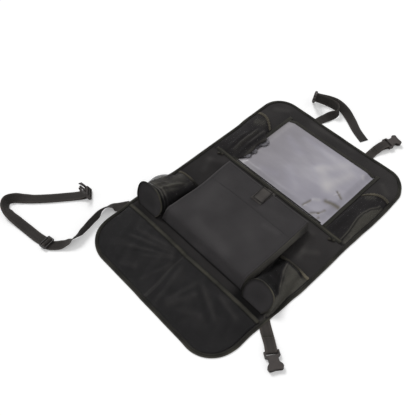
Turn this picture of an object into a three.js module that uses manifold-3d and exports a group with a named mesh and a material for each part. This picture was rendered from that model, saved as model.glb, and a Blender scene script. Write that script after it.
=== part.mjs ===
// Car seat back organizer, lying flat on its back.
// Millimetres. Seen from the front, +X is right and +Y is the headrest end; +Z is the front.
// The origin is the centre of the rear face of the cloth panel.

import * as THREE from 'three';
import Module from 'manifold-3d';

const wasm = await Module();
wasm.setup();

// Panel and the tape round its edge
const panelWidth = 400;
const panelHeight = 620;
const topCornerRadius = 54;
const bottomCornerRadius = 74;
const panelThickness = 1.6;
const bindingWidth = 8;
const tapeThickness = 0.6;
const cornerSteps = 10;

// Clearance kept between pieces that are sewn on each other
const clearance = 0.3;

// Cloth, mesh and film
const clothThickness = 0.6;
const filmThickness = 0.5;

// Tablet window
const windowWidth = 250;
const windowHeight = 183;
const windowCentreX = 5;
const windowCentreY = 166;
const filmRise = 5.4;
const filmSlope = 14;
const filmSeam = 7;
const filmWave = 0.25;
const windowTapeWidth = 10;
const windowTapeOverrun = 14;

// Tape across the panel under the window
const crossTapeWidth = 10;
const crossTapeEndInset = 17;
const crossTapeOverWindow = 1;

// Sheer pockets beside the window
const upperPocketGap = 2;
const upperPocketOuterMouth = 228;
const upperPocketInnerMouth = 204;
const upperPocketArch = 7;
const upperPocketRise = 11;
const upperMouthRise = 8.5;
const upperPocketFold = 0.18;

// Main pocket, a box of cloth with its mouth towards the window
const mainHalfWidth = 117;
const mainBottomY = -158;
const mainMouthY = 44;
const mainDepth = 28;
const mainWallLean = 15;
const mainBendRadius = 9;
const mainSag = 1.6;
const mainLeftDip = 12;
const mainDipReach = 0.3;
const gussetThickness = 0.8;
const gussetLean = 2.5;
const mainSteps = 18;
const mainWave = 0.5;

// Closure tab over the mouth of the main pocket
const tabWidth = 25;
const tabThickness = 1.2;
const tabLength = 36;
const tabRootLength = 9;
const tabSkew = 4;
const patchWidth = 29;
const patchLength = 40;
const patchThickness = 0.8;

// Bottle pockets
const bottleInnerGap = 3.4;
const bottleMouthY = -42;
const bottleBaseY = -166;
const bottleBaseRadius = 33;
const bottleBaseChordDrop = 11;
const bottleBaseThickness = 1.2;
const rightBaseLean = 42;
const leftBaseLean = 27;
const bottleMouthRise = 9;
const bottleFold = 2.2;
const bottleSag = 9;

// Elastic tapes at pocket mouths
const elasticWidth = 7;
const elasticThickness = 0.8;

// Lower pockets
const lowerMouthY = -179;
const lowerBottomInset = 1.2;
const lowerMouthRise = 6.4;
const lowerTapeWidth = 10;
const lowerFoldHeight = 1.5;
const lowerFoldWidth = 6.5;
const lowerStepsU = 40;
const lowerStepsV = 14;

// Webbing
const webbingWidth = 22;
const webbingThickness = 1.3;
const webbingGap = 0.6;
const layerEase = 0.06;
const strapRootDepth = 7;
const rootReach = 48;

// Side-release buckles
const buckleWidth = 29;
const buckleHeight = 9;
const femaleLength = 37;
const femaleWaistWidth = 19;
const femaleWaistLength = 8.6;
const socketWidth = 15.4;
const socketHeight = 4.8;
const socketDepth = 24;
const socketMouthWidth = 25;
const socketMouthDepth = 10;
const sideWindow = 6;
const barDepth = 3.6;
const barHeight = 3.4;
const barSlot = 5;
const buckleBevel = 0.8;
const maleBodyLength = 19.5;
const maleHeight = 6.4;
const prongLength = 22;
const prongThickness = 3.6;
const prongWidth = 3.2;
const prongReach = 8.4;
const spineWidth = 3.6;
const sliderLength = 17;
const sliderHeight = 3.2;
const maleRail = 2.4;
const sliderBar = 3.4;

// Levels that follow from the thicknesses
const seatZ = panelThickness + clearance;
const overClothZ = seatZ + clothThickness + clearance;
const rimZ = tapeThickness + clearance;
const innerEdgeX = panelWidth / 2 - bindingWidth - clearance;
const pocketEdgeX = innerEdgeX - clearance - clothThickness - elasticThickness;
const windowLeft = windowCentreX - windowWidth / 2;
const windowRight = windowCentreX + windowWidth / 2;
const windowBottom = windowCentreY - windowHeight / 2;
const windowTop = windowCentreY + windowHeight / 2;
const barRadius = Math.hypot(barDepth, barHeight) / 2;
const loopRadius = barRadius + clearance + webbingThickness / 2;

const organizer = new THREE.Group();
organizer.name = 'car_seat_back_organizer';

const finishes = {
  cloth: { color: 0x3e3e40, roughness: 0.85, metalness: 0 },
  backing: { color: 0x323031, roughness: 0.9, metalness: 0 },
  mesh: { color: 0x262628, roughness: 0.8, metalness: 0 },
  tape: { color: 0x3c3c34, roughness: 0.75, metalness: 0 },
  film: { color: 0x96939e, roughness: 0.2, metalness: 0 },
  webbing: { color: 0x38372f, roughness: 0.8, metalness: 0 },
  hook: { color: 0x4c4845, roughness: 0.9, metalness: 0 },
  buckle: { color: 0x5e5552, roughness: 0.45, metalness: 0 },
};

const mix = THREE.MathUtils.lerp;
const ease = THREE.MathUtils.smoothstep;
const vec = (x, y, z) => new THREE.Vector3(x, y, z);

function addPiece(name, geometry, finish) {
  const mesh = new THREE.Mesh(geometry, new THREE.MeshStandardMaterial(finishes[finish]));
  mesh.name = name;
  organizer.add(mesh);
  return mesh;
}

// Closed bodies from points and triangles

function signedVolume(positions, index) {
  const at = (i) => vec(positions[3 * i], positions[3 * i + 1], positions[3 * i + 2]);
  let total = 0;
  for (let t = 0; t < index.length; t += 3) {
    total += at(index[t]).dot(at(index[t + 1]).cross(at(index[t + 2])));
  }
  return total / 6;
}

function closedBody(positions, index) {
  if (signedVolume(positions, index) < 0) {
    for (let t = 0; t < index.length; t += 3) {
      [index[t], index[t + 1]] = [index[t + 1], index[t]];
    }
  }
  const geometry = new THREE.BufferGeometry();
  geometry.setAttribute('position', new THREE.Float32BufferAttribute(positions, 3));
  geometry.setIndex(index);
  return geometry;
}

// A loft joins equal rings of points; a ring body closes on itself
function loft(rings, isLoop = false) {
  const size = rings[0].length;
  const positions = rings.flat().flatMap((p) => [p.x, p.y, p.z]);
  const index = [];
  const spans = isLoop ? rings.length : rings.length - 1;
  for (let r = 0; r < spans; r++) {
    const here = r * size;
    const next = ((r + 1) % rings.length) * size;
    for (let k = 0; k < size; k++) {
      const l = (k + 1) % size;
      index.push(here + k, here + l, next + l, here + k, next + l, next + k);
    }
  }
  if (!isLoop) {
    const last = (rings.length - 1) * size;
    for (let k = 1; k < size - 1; k++) {
      index.push(0, k + 1, k, last, last + k, last + k + 1);
    }
  }
  return closedBody(positions, index);
}

function surfaceNormal(surface, u, v) {
  const step = 0.002;
  const u0 = Math.max(u - step, 0);
  const u1 = Math.min(u + step, 1);
  const v0 = Math.max(v - step, 0);
  const v1 = Math.min(v + step, 1);
  const along = surface(u1, v).sub(surface(u0, v));
  const across = surface(u, v1).sub(surface(u, v0));
  return along.cross(across).normalize();
}

// A sheet is a curved surface given a thickness on its upper side
function sheet(surface, stepsU, stepsV, thickness, lift = 0) {
  const points = [];
  for (const height of [lift, lift + thickness]) {
    for (let j = 0; j <= stepsV; j++) {
      for (let i = 0; i <= stepsU; i++) {
        const u = i / stepsU;
        const v = j / stepsV;
        points.push(surface(u, v).addScaledVector(surfaceNormal(surface, u, v), height));
      }
    }
  }
  const row = stepsU + 1;
  const layer = row * (stepsV + 1);
  const index = [];
  const quad = (a, b, c, d) => index.push(a, b, c, a, c, d);
  for (let j = 0; j < stepsV; j++) {
    for (let i = 0; i < stepsU; i++) {
      const a = j * row + i;
      quad(a, a + row, a + row + 1, a + 1);
      quad(layer + a, layer + a + 1, layer + a + row + 1, layer + a + row);
    }
  }
  for (let i = 0; i < stepsU; i++) {
    const top = stepsV * row + i;
    quad(i, i + 1, layer + i + 1, layer + i);
    quad(top + 1, top, layer + top, layer + top + 1);
  }
  for (let j = 0; j < stepsV; j++) {
    const left = j * row;
    const right = left + stepsU;
    quad(left + row, left, layer + left, layer + left + row);
    quad(right, right + row, layer + right + row, layer + right);
  }
  return closedBody(points.flatMap((p) => [p.x, p.y, p.z]), index);
}

// Part of a surface, between two places along its second direction
function strip(surface, from, to) {
  return (u, v) => surface(u, mix(from, to, v));
}

function box(x0, x1, y0, y1, z0, z1) {
  const geometry = new THREE.BoxGeometry(x1 - x0, y1 - y0, z1 - z0);
  return geometry.translate((x0 + x1) / 2, (y0 + y1) / 2, (z0 + z1) / 2);
}

function outline(points) {
  const shape = new THREE.Shape();
  shape.setFromPoints(points.map(([x, y]) => new THREE.Vector2(x, y)));
  return shape;
}

function plate(shape, z0, z1, bevel = 0) {
  const geometry = new THREE.ExtrudeGeometry(shape, {
    depth: z1 - z0 - 2 * bevel,
    steps: 1,
    curveSegments: cornerSteps,
    bevelEnabled: bevel > 0,
    bevelThickness: bevel,
    bevelSize: bevel,
    bevelOffset: -bevel,
    bevelSegments: 1,
  });
  return geometry.translate(0, 0, z0 + bevel);
}

// Solids for joins and cuts

function merged(geometry) {
  const source = geometry.index ? geometry.toNonIndexed() : geometry;
  const array = source.attributes.position.array;
  const places = new Map();
  const positions = [];
  const index = [];
  for (let i = 0; i < array.length; i += 3) {
    const key = [array[i], array[i + 1], array[i + 2]].map((c) => Math.round(c * 1e4)).join();
    if (!places.has(key)) {
      places.set(key, positions.length / 3);
      positions.push(array[i], array[i + 1], array[i + 2]);
    }
    index.push(places.get(key));
  }
  const kept = [];
  for (let t = 0; t < index.length; t += 3) {
    const [a, b, c] = index.slice(t, t + 3);
    if (a !== b && b !== c && c !== a) kept.push(a, b, c);
  }
  return closedBody(positions, kept);
}

function solid(geometry) {
  const body = merged(geometry);
  return new wasm.Manifold(new wasm.Mesh({
    numProp: 3,
    vertProperties: Float32Array.from(body.attributes.position.array),
    triVerts: Uint32Array.from(body.index.array),
  }));
}

function fromSolid(body) {
  const mesh = body.getMesh();
  const geometry = new THREE.BufferGeometry();
  geometry.setAttribute('position', new THREE.Float32BufferAttribute(mesh.vertProperties, 3));
  geometry.setIndex(Array.from(mesh.triVerts));
  return geometry;
}

function cut(geometry, cutters) {
  const body = cutters.reduce((rest, cutter) => rest.subtract(solid(cutter)), solid(geometry));
  return fromSolid(body);
}

function join(geometries) {
  const [first, ...rest] = geometries.map(solid);
  return fromSolid(rest.reduce((whole, part) => whole.add(part), first));
}

// Webbing: frames along a route, each with a point, the direction across and the face normal

function routeFrames(route, steps) {
  const points = route.map(([x, y, z]) => vec(x, y, z));
  const across = route.map((r) => vec(r[3], r[4], r[5]).normalize());
  const line = new THREE.CatmullRomCurve3(points, false, 'centripetal');
  const frames = [];
  for (let i = 0; i <= steps; i++) {
    const t = i / steps;
    const tangent = line.getTangent(t);
    const row = Math.min(Math.floor(t * (route.length - 1)), route.length - 2);
    const share = ease(t * (route.length - 1) - row, 0, 1);
    const side = across[row].clone().lerp(across[row + 1], share);
    side.addScaledVector(tangent, -side.dot(tangent)).normalize();
    const normal = side.clone().cross(tangent).normalize();
    frames.push({ point: line.getPoint(t), side, tangent, normal });
  }
  return frames;
}

function ribbon(frames, width = webbingWidth, thickness = webbingThickness) {
  const ring = ({ point, side, normal }) => [[-1, -1], [1, -1], [1, 1], [-1, 1]].map(
    ([a, b]) => point.clone()
      .addScaledVector(side, (a * width) / 2)
      .addScaledVector(normal, (b * thickness) / 2),
  );
  return loft(frames.map(ring));
}

// Frames moved along their normals by an amount that may change along the route
function shifted(frames, amount) {
  const last = frames.length - 1;
  return frames.map((frame, i) => ({
    ...frame,
    point: frame.point.clone().addScaledVector(frame.normal, amount(i / last)),
  }));
}

// The same frames walked the other way
function turnedBack(frames) {
  return frames.slice().reverse().map((frame) => ({
    ...frame,
    tangent: frame.tangent.clone().negate(),
    normal: frame.normal.clone().negate(),
  }));
}

// A half turn of webbing round a bar, from one face of the route to the other
function halfTurn(frame, steps = 8) {
  const frames = [];
  for (let i = 1; i < steps; i++) {
    const angle = Math.PI * (i / steps);
    const normal = frame.normal.clone().multiplyScalar(Math.cos(angle))
      .addScaledVector(frame.tangent, Math.sin(angle));
    frames.push({
      point: frame.point.clone().addScaledVector(normal, loopRadius),
      side: frame.side,
      normal,
    });
  }
  return frames;
}

// Webbing that goes out along one set of frames, round a bar and back along another
function roundBar(outward, inward, backFrom, spread) {
  const layer = (webbingThickness + webbingGap) / 2;
  const apart = (t) => layer * ease(t, backFrom, backFrom + layerEase);
  const opening = (t) => ease(t, 1 - spread, 1);
  const whole = (t) => 1 - t * (1 - backFrom);
  return ribbon([
    ...shifted(outward, (t) => mix(apart(t), loopRadius, opening(t))),
    ...halfTurn(outward[outward.length - 1]),
    ...shifted(inward, (t) => mix(2 * layer - apart(whole(t)), loopRadius, opening(whole(t)))),
  ]);
}

// The panel inside the strap roots, as a cutter
function insideRoots(inset) {
  const x = panelWidth / 2 - strapRootDepth - inset;
  const y = panelHeight / 2 - strapRootDepth - inset;
  return box(-x, x, -y, y, -buckleHeight, buckleHeight);
}

// The root of a strap, made larger by the clearance, for the slot in the binding and the panel
function rootCutter(frames) {
  const whole = ribbon(
    frames.filter((frame) => frame.point.distanceTo(frames[0].point) < rootReach),
    webbingWidth + 2 * clearance,
    webbingThickness + 2 * clearance,
  );
  return cut(whole, [insideRoots(clearance)]);
}

// Rounded outline of the panel, from the outside inwards

function edgeStations() {
  const corners = [
    [1, 1, topCornerRadius, 0],
    [-1, 1, topCornerRadius, 90],
    [-1, -1, bottomCornerRadius, 180],
    [1, -1, bottomCornerRadius, 270],
  ];
  return corners.flatMap(([sx, sy, radius, start]) => {
    const centre = [sx * (panelWidth / 2 - radius), sy * (panelHeight / 2 - radius)];
    return Array.from({ length: cornerSteps + 1 }, (_, i) => {
      const angle = THREE.MathUtils.degToRad(start + (90 * i) / cornerSteps);
      return { centre, radius, direction: [Math.cos(angle), Math.sin(angle)] };
    });
  });
}

function edgePoint({ centre, radius, direction }, inset) {
  return [
    centre[0] + (radius - inset) * direction[0],
    centre[1] + (radius - inset) * direction[1],
  ];
}

// Half width of the space inside the binding at a height on the panel
function innerHalfWidth(y) {
  const inset = bindingWidth + clearance;
  const depth = -y - (panelHeight / 2 - bottomCornerRadius);
  if (depth <= 0) return panelWidth / 2 - inset;
  const radius = bottomCornerRadius - inset;
  return panelWidth / 2 - bottomCornerRadius + Math.sqrt(Math.max(radius ** 2 - depth ** 2, 0));
}

// Strap routes: each row is a point and the direction across the webbing

const lowerRightRoute = [
  [182.6, -167.2, 1.25, 0.6, 0.8, 0],
  [194.6, -176.2, 1.25, 0.6, 0.8, 0],
  [206.6, -185.2, 1.25, 0.6, 0.8, 0],
  [218, -192.8, 1.8, 0.57, 0.82, 0],
  [230.4, -200.4, 4.2, 0.54, 0.84, 0],
  [243, -208.4, 4.65, 0.54, 0.84, 0],
];

const upperRightRoute = [
  [82.6, 296, 1.25, 1, 0, 0],
  [82.6, 305, 1.25, 1, 0, 0],
  [82.6, 313, 1.25, 1, 0, 0],
  [83.4, 329, 3.9, 1, -0.05, 0.06],
  [86.4, 346, 7.5, 1, -0.12, 0.08],
  [91.4, 362.4, 7.3, 1, -0.07, 0],
];

const upperLeftRoute = [
  [-72.5, 295, 1.25, 0.99, -0.08, 0],
  [-71.8, 304, 1.25, 0.99, -0.08, 0],
  [-71, 313.5, 1.25, 0.99, -0.08, 0],
  [-65.5, 327, 3.4, 0.95, -0.3, 0],
  [-57.5, 342, 7.4, 0.7, -0.5, 0.5],
  [-51, 353, 11.9, 0.3, -0.3, 0.9],
  [-52, 364, 14.4, -0.25, 0.1, 0.96],
  [-62, 371, 14.1, -0.5, 0.35, 0.8],
  [-82, 372.5, 13.9, -0.45, 0.4, 0.8],
  [-104, 366.5, 15.9, -0.43, 0.41, 0.81],
  [-123, 356.5, 18.4, -0.42, 0.41, 0.81],
];

const upperLeftBandRoute = [
  [-123, 356.5, 18.4, -0.42, 0.41, 0.81],
  [-106, 369, 15.4, -0.45, 0.43, 0.78],
  [-92, 378.5, 13.5, -0.45, 0.5, 0.73],
  [-72, 384, 12.5, -0.35, 0.62, 0.7],
  [-46, 381, 9.9, -0.15, 0.78, 0.6],
  [-18, 370.5, 4.9, 0.2, 0.94, 0.28],
  [13.3, 353.4, 1.4, 0.48, 0.87, 0.03],
  [46, 339.5, 0.7, 0.4, 0.92, 0],
];

const lowerLeftRoute = [
  [-187.4, -175.6, 1.25, -0.84, 0.54, 0],
  [-198.7, -193.2, 1.25, -0.84, 0.54, 0],
  [-210, -210.8, 2.1, -0.84, 0.54, 0],
  [-216, -222, 8.3, -0.6, 0.3, -0.65],
  [-218, -236, 11.5, -0.15, 0.05, -1],
  [-213.5, -256, 11.4, 0, 0, -1],
  [-208, -280, 11.4, 0, 0, -1],
  [-203, -302, 11.4, 0, 0, -1],
  [-201, -322, 10.9, -0.4, 0, -0.9],
  [-205, -340, 6.5, -0.9, 0.2, -0.4],
  [-212, -354, 3.5, -0.8, 0.6, 0],
];

// Slider on the lower left strap, its place and the line of the webbing through it
const sliderCentre = vec(-234.6, -370.6, 6);
const sliderHeading = vec(-0.985, -0.17, 0).normalize();
const sliderAcross = vec(-0.17, 0.985, 0).normalize();
const sliderLine = [
  [-8, -2.95],
  [-5.4, -1.9],
  [-4.2, 0],
  [-3, 2.2],
  [0, 3.1],
  [3, 2.2],
  [4.2, 0],
  [5.4, -1.9],
  [8, -2.95],
];

const lowerLeftLoopRoute = [
  [-262, -376.4, 2.7, -0.05, 1, 0],
  [-292, -380.4, 2.5, -0.05, 1, 0],
  [-324, -384.8, 3.8, -0.1, 1, -0.1],
  [-350, -388, 7.3, 0, 0.9, -0.4],
  [-370, -386, 10.7, 0.3, 0.5, -0.75],
  [-382, -373, 11.1, 0.6, 0.1, -0.8],
  [-378, -357, 7.9, 0.75, -0.3, -0.55],
  [-366, -343, 4.5, 0.8, -0.5, -0.25],
  [-351, -327, 2.6, 0.8, -0.6, 0],
  [-328.4, -300.7, 2.5, 0.8, -0.6, 0],
  [-308, -274.5, 2.5, 0.8, -0.6, 0],
  [-292, -253.5, 2.9, 0.8, -0.6, 0],
  [-282.5, -240.8, 5.3, 0.8, -0.6, 0],
  [-276.7, -233, 10.3, 0.8, -0.6, 0],
];

function sliderRoute() {
  return sliderLine.map(([along, up]) => {
    const p = sliderCentre.clone().addScaledVector(sliderHeading, along);
    return [p.x, p.y, p.z + up, sliderAcross.x, sliderAcross.y, 0];
  });
}

const lowerRightFrames = routeFrames(lowerRightRoute, 20);
const upperRightFrames = routeFrames(upperRightRoute, 20);
const upperLeftFrames = routeFrames(upperLeftRoute, 40);
const upperLeftBandFrames = routeFrames(upperLeftBandRoute, 36);
const lowerLeftFrames = routeFrames(
  [...lowerLeftRoute, ...sliderRoute(), ...lowerLeftLoopRoute],
  132,
);
const strapRoots = [lowerRightFrames, upperRightFrames, upperLeftFrames, lowerLeftFrames];

// Backing panel, pressed thinner where the tape folds over its rim
function makeBackPanel() {
  const shape = (inset) => outline(edgeStations().map((station) => edgePoint(station, inset)));
  const rim = plate(shape(tapeThickness + clearance), rimZ, panelThickness);
  const middle = plate(shape(bindingWidth + clearance), 0, panelThickness);
  return cut(join([rim, middle]), strapRoots.map(rootCutter));
}

// Folded tape round the edge, a U in section
function makeEdgeBinding() {
  const front = seatZ + tapeThickness;
  const section = [
    [0, 0],
    [0, front],
    [bindingWidth, front],
    [bindingWidth, front - tapeThickness],
    [tapeThickness, front - tapeThickness],
    [tapeThickness, tapeThickness],
    [bindingWidth, tapeThickness],
    [bindingWidth, 0],
  ];
  const rings = edgeStations().map((station) => section.map(([inset, z]) => {
    const [x, y] = edgePoint(station, inset);
    return vec(x, y, z);
  }));
  return cut(loft(rings, true), strapRoots.map(rootCutter));
}

addPiece('back_panel', makeBackPanel(), 'backing');
addPiece('edge_binding', makeEdgeBinding(), 'tape');

// Tablet window

const crossTapeTop = windowBottom + crossTapeOverWindow;
const crossTapeBottom = crossTapeTop - crossTapeWidth;

// Places along one direction: a flat seam, a slope, the middle and what follows
function evenly(from, to, spans) {
  return Array.from({ length: spans }, (_, i) => mix(from, to, i / spans));
}

const filmStationsX = [
  windowLeft - filmSeam,
  ...evenly(windowLeft, windowLeft + filmSlope, 3),
  ...evenly(windowLeft + filmSlope, windowRight - filmSlope, 10),
  ...evenly(windowRight - filmSlope, windowRight, 3),
  windowRight,
  windowRight + filmSeam,
];
const filmStationsY = [
  windowBottom - filmSeam,
  ...evenly(crossTapeTop, crossTapeTop + filmSlope, 3),
  ...evenly(crossTapeTop + filmSlope, windowTop, 6),
  windowTop,
  windowTop + windowTapeWidth / 2,
];

function station(list, share) {
  const place = share * (list.length - 1);
  const i = Math.min(Math.floor(place), list.length - 2);
  return mix(list[i], list[i + 1], place - i);
}

function filmHeight(x, y) {
  const left = ease(x, windowLeft, windowLeft + filmSlope);
  const right = 1 - ease(x, windowRight - filmSlope, windowRight);
  const bottom = ease(y, crossTapeTop, crossTapeTop + filmSlope);
  const wave = filmWave * Math.sin(x / 23 + y / 31) * Math.sin(y / 27 - x / 41);
  return seatZ + left * right * bottom * (filmRise + wave);
}

function filmSurface(u, v) {
  const x = station(filmStationsX, u);
  const y = station(filmStationsY, v);
  return vec(x, y, filmHeight(x, y));
}

const topTapeStations = [windowLeft + clearance, ...filmStationsX.slice(2, -2), windowRight - clearance];

function topTapeSurface(u, v) {
  const x = station(topTapeStations, u);
  const y = mix(windowTop, windowTop + windowTapeWidth * 0.8, v);
  return vec(x, y, filmHeight(x, windowTop));
}

function makeTopTape() {
  return sheet(topTapeSurface, topTapeStations.length - 1, 1, tapeThickness, filmThickness + clearance);
}

function makeSideTape(side) {
  const inner = side < 0 ? windowLeft : windowRight;
  const outer = inner + side * windowTapeWidth;
  const low = crossTapeTop + clearance;
  const top = windowTop + windowTapeOverrun;
  const z = seatZ + filmThickness + clearance;
  return box(Math.min(inner, outer), Math.max(inner, outer), low, top, z, z + tapeThickness);
}

const filmSteps = [filmStationsX.length - 1, filmStationsY.length - 1];

addPiece('window_film', sheet(filmSurface, ...filmSteps, filmThickness), 'film');
addPiece('window_tape_top', makeTopTape(), 'tape');
addPiece('window_tape_left', makeSideTape(-1), 'tape');
addPiece('window_tape_right', makeSideTape(1), 'tape');

// Tape across the panel under the window

function makeCrossTape() {
  const reach = panelWidth / 2 - crossTapeEndInset;
  const z = overClothZ;
  return box(-reach, reach, crossTapeBottom, crossTapeTop, z, z + tapeThickness);
}

addPiece('upper_cross_tape', makeCrossTape(), 'tape');

// Sheer pockets beside the window

function upperPocketSurface(side) {
  const inner = side < 0
    ? windowLeft - windowTapeWidth - upperPocketGap
    : windowRight + windowTapeWidth + upperPocketGap;
  const outer = side * pocketEdgeX;
  return (u, v) => {
    const across = side < 0 ? u : 1 - u;
    const mouth = mix(upperPocketOuterMouth, upperPocketInnerMouth, across)
      + upperPocketArch * Math.sin(Math.PI * across);
    const bottom = crossTapeBottom + clearance;
    const dome = Math.sin(Math.PI * across) ** 0.7;
    const rise = mix(upperPocketRise, upperMouthRise, v) * ease(v, 0.06, 0.4);
    const fold = 1 + upperPocketFold * Math.sin(9 * across + 4 * v) * (1 - v);
    return vec(mix(outer, inner, across), mix(bottom, mouth, v), seatZ + dome * rise * fold);
  };
}

function makeUpperPocket(name, side) {
  const surface = upperPocketSurface(side);
  const length = upperPocketInnerMouth - crossTapeBottom;
  const band = strip(surface, 1 - elasticWidth / length, 1);
  addPiece(`${name}_pocket`, sheet(surface, 12, 10, clothThickness), 'mesh');
  addPiece(`${name}_elastic`, sheet(band, 12, 1, elasticThickness, clothThickness + clearance), 'tape');
}

makeUpperPocket('upper_left', -1);
makeUpperPocket('upper_right', 1);

// Main pocket: one profile gives the front cloth and the gussets

function mainProfile() {
  const wallTop = vec(0, mainBottomY + mainWallLean, seatZ + mainDepth);
  const foot = vec(0, mainBottomY, seatZ);
  const wall = wallTop.clone().sub(foot).normalize();
  const path = new THREE.CurvePath();
  const bendStart = wallTop.clone().addScaledVector(wall, -mainBendRadius);
  const bendEnd = wallTop.clone().add(vec(0, mainBendRadius, 0));
  path.add(new THREE.LineCurve3(foot, bendStart));
  path.add(new THREE.QuadraticBezierCurve3(bendStart, wallTop, bendEnd));
  path.add(new THREE.LineCurve3(bendEnd, vec(0, mainMouthY, seatZ + mainDepth)));
  return path;
}

const mainPath = mainProfile();

// How far the left side of the pocket has dropped, at a distance up the panel
function leftDip(y) {
  const from = mainBottomY + mainWallLean;
  const share = THREE.MathUtils.clamp((y - from) / (mainMouthY - from), 0, 1);
  return mainLeftDip * Math.sin(Math.PI * share) ** 2;
}

function mainSurface(u, v) {
  const at = mainPath.getPoint(v);
  const dip = leftDip(at.y) * (1 - ease(u, 0, mainDipReach));
  const lean = gussetLean * (at.z - seatZ) / mainDepth;
  const half = mainHalfWidth + gussetThickness - lean;
  const sag = mainSag * Math.sin(Math.PI * u) * ease(v, 0.2, 0.5);
  const wave = mainWave * Math.sin(7 * u + 5 * v) * Math.sin(Math.PI * u) * ease(v, 0.2, 0.5);
  return vec(mix(-half, half, u), at.y, at.z - dip - sag + wave);
}

function makeGusset(side) {
  const inner = [];
  for (let i = 0; i <= mainSteps; i++) {
    const at = mainPath.getPoint(i / mainSteps);
    const tangent = mainPath.getTangent(i / mainSteps);
    const dip = side < 0 ? leftDip(at.y) : 0;
    inner.push([at.y + tangent.z * clearance, at.z - tangent.y * clearance - dip]);
  }
  const foot = [inner[0][0] + clearance, seatZ];
  const profile = [foot, ...inner.slice(1), [mainMouthY, seatZ]];
  const ring = (offset) => profile.map(([y, z]) => {
    const lean = gussetLean * (z - seatZ) / mainDepth;
    return vec(side * (mainHalfWidth - lean + offset), y, z);
  });
  return loftFlat(ring(0), ring(gussetThickness));
}

// A flat body between two equal outlines that may be hollow-sided
function loftFlat(low, high) {
  const size = low.length;
  const flat = low.map((p) => new THREE.Vector2(p.y, p.z));
  const faces = THREE.ShapeUtils.triangulateShape(flat, []);
  const isTurned = THREE.ShapeUtils.isClockWise(flat);
  const positions = [...low, ...high].flatMap((p) => [p.x, p.y, p.z]);
  const index = [];
  for (const [a, b, c] of faces) {
    index.push(a, c, b, size + a, size + b, size + c);
  }
  for (let k = 0; k < size; k++) {
    const [from, to] = isTurned ? [(k + 1) % size, k] : [k, (k + 1) % size];
    index.push(from, to, size + to, from, size + to, size + from);
  }
  return closedBody(positions, index);
}

addPiece('main_pocket_front', sheet(mainSurface, 12, mainSteps, clothThickness), 'cloth');
addPiece('main_pocket_gusset_left', makeGusset(-1), 'tape');
addPiece('main_pocket_gusset_right', makeGusset(1), 'tape');

// Closure tab and its loop patch

function mainTopZ(x, y) {
  const along = mainPath.getLength() - (mainMouthY - y);
  const u = (x + mainHalfWidth) / (2 * mainHalfWidth);
  return mainSurface(u, along / mainPath.getLength()).z + clothThickness;
}

function patchSurface(u, v) {
  const x = mix(-patchWidth / 2, patchWidth / 2, u) + tabSkew / 2;
  const y = mix(mainMouthY - clearance - patchLength, mainMouthY - clearance, v);
  return vec(x, y, mainTopZ(x, y) + clearance);
}

function tabRoute() {
  const rest = patchThickness + 2 * clearance + tabThickness / 2;
  const rootY = crossTapeBottom - clearance;
  const rootZ = seatZ + tabThickness / 2;
  const over = (x, y) => [x, y, mainTopZ(x, Math.min(y, mainMouthY)) + rest, 1, 0, 0];
  const rim = mainTopZ(0, mainMouthY) + clearance + patchThickness;
  const round = clearance * 2 + tabThickness / 2;
  return [
    [-tabSkew / 2, rootY, rootZ, 1, 0, 0],
    [-tabSkew / 2, rootY - tabRootLength, rootZ + 1.2, 1, 0, 0],
    [0, mainMouthY + 4.5, mainDepth / 2, 1, 0, 0],
    [0.4, mainMouthY + round, rim - 4, 1, 0, 0],
    [0.6, mainMouthY + round, rim, 1, 0, 0],
    [0.8, mainMouthY + round * 0.6, rim + round * 0.8, 1, 0, 0],
    [1, mainMouthY - clearance, rim + round, 1, 0, 0],
    over(1.4, mainMouthY - 6),
    over(tabSkew * 0.5, mainMouthY - 14),
    over(tabSkew * 0.7, mainMouthY - 25),
    over(tabSkew, mainMouthY - tabLength),
  ];
}

addPiece('closure_loop_patch', sheet(patchSurface, 2, 4, patchThickness), 'hook');
addPiece('closure_tab', ribbon(routeFrames(tabRoute(), 40), tabWidth, tabThickness), 'hook');

// Bottle pockets: a leaning round base, a sheer front and an elastic mouth

function basePoint(side, lean, angle, radius, offset) {
  const inner = mainHalfWidth + bottleInnerGap;
  const centreX = side * (inner + pocketEdgeX) / 2;
  const tilt = THREE.MathUtils.degToRad(lean);
  const slant = bottleBaseRadius - bottleBaseChordDrop + radius * Math.sin(angle);
  const along = centreX - radius * Math.cos(angle);
  return vec(
    along,
    bottleBaseY + slant * Math.sin(tilt) + offset * Math.cos(tilt),
    seatZ + slant * Math.cos(tilt) - offset * Math.sin(tilt),
  );
}

function baseArc(steps) {
  const start = -Math.asin((bottleBaseRadius - bottleBaseChordDrop) / bottleBaseRadius);
  return Array.from({ length: steps + 1 }, (_, i) => mix(start, Math.PI - start, i / steps));
}

function makeBottleBase(side, lean) {
  const angles = baseArc(20);
  const face = (offset) => angles.map((angle) => basePoint(side, lean, angle, bottleBaseRadius, offset));
  const low = face(bottleBaseThickness);
  const high = face(0);
  const lift = bottleBaseThickness * Math.sin(THREE.MathUtils.degToRad(lean));
  const raised = (points) => points.map((p) => p.clone().add(vec(0, 0, lift)));
  return loft([raised(high), raised(low)]);
}

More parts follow.
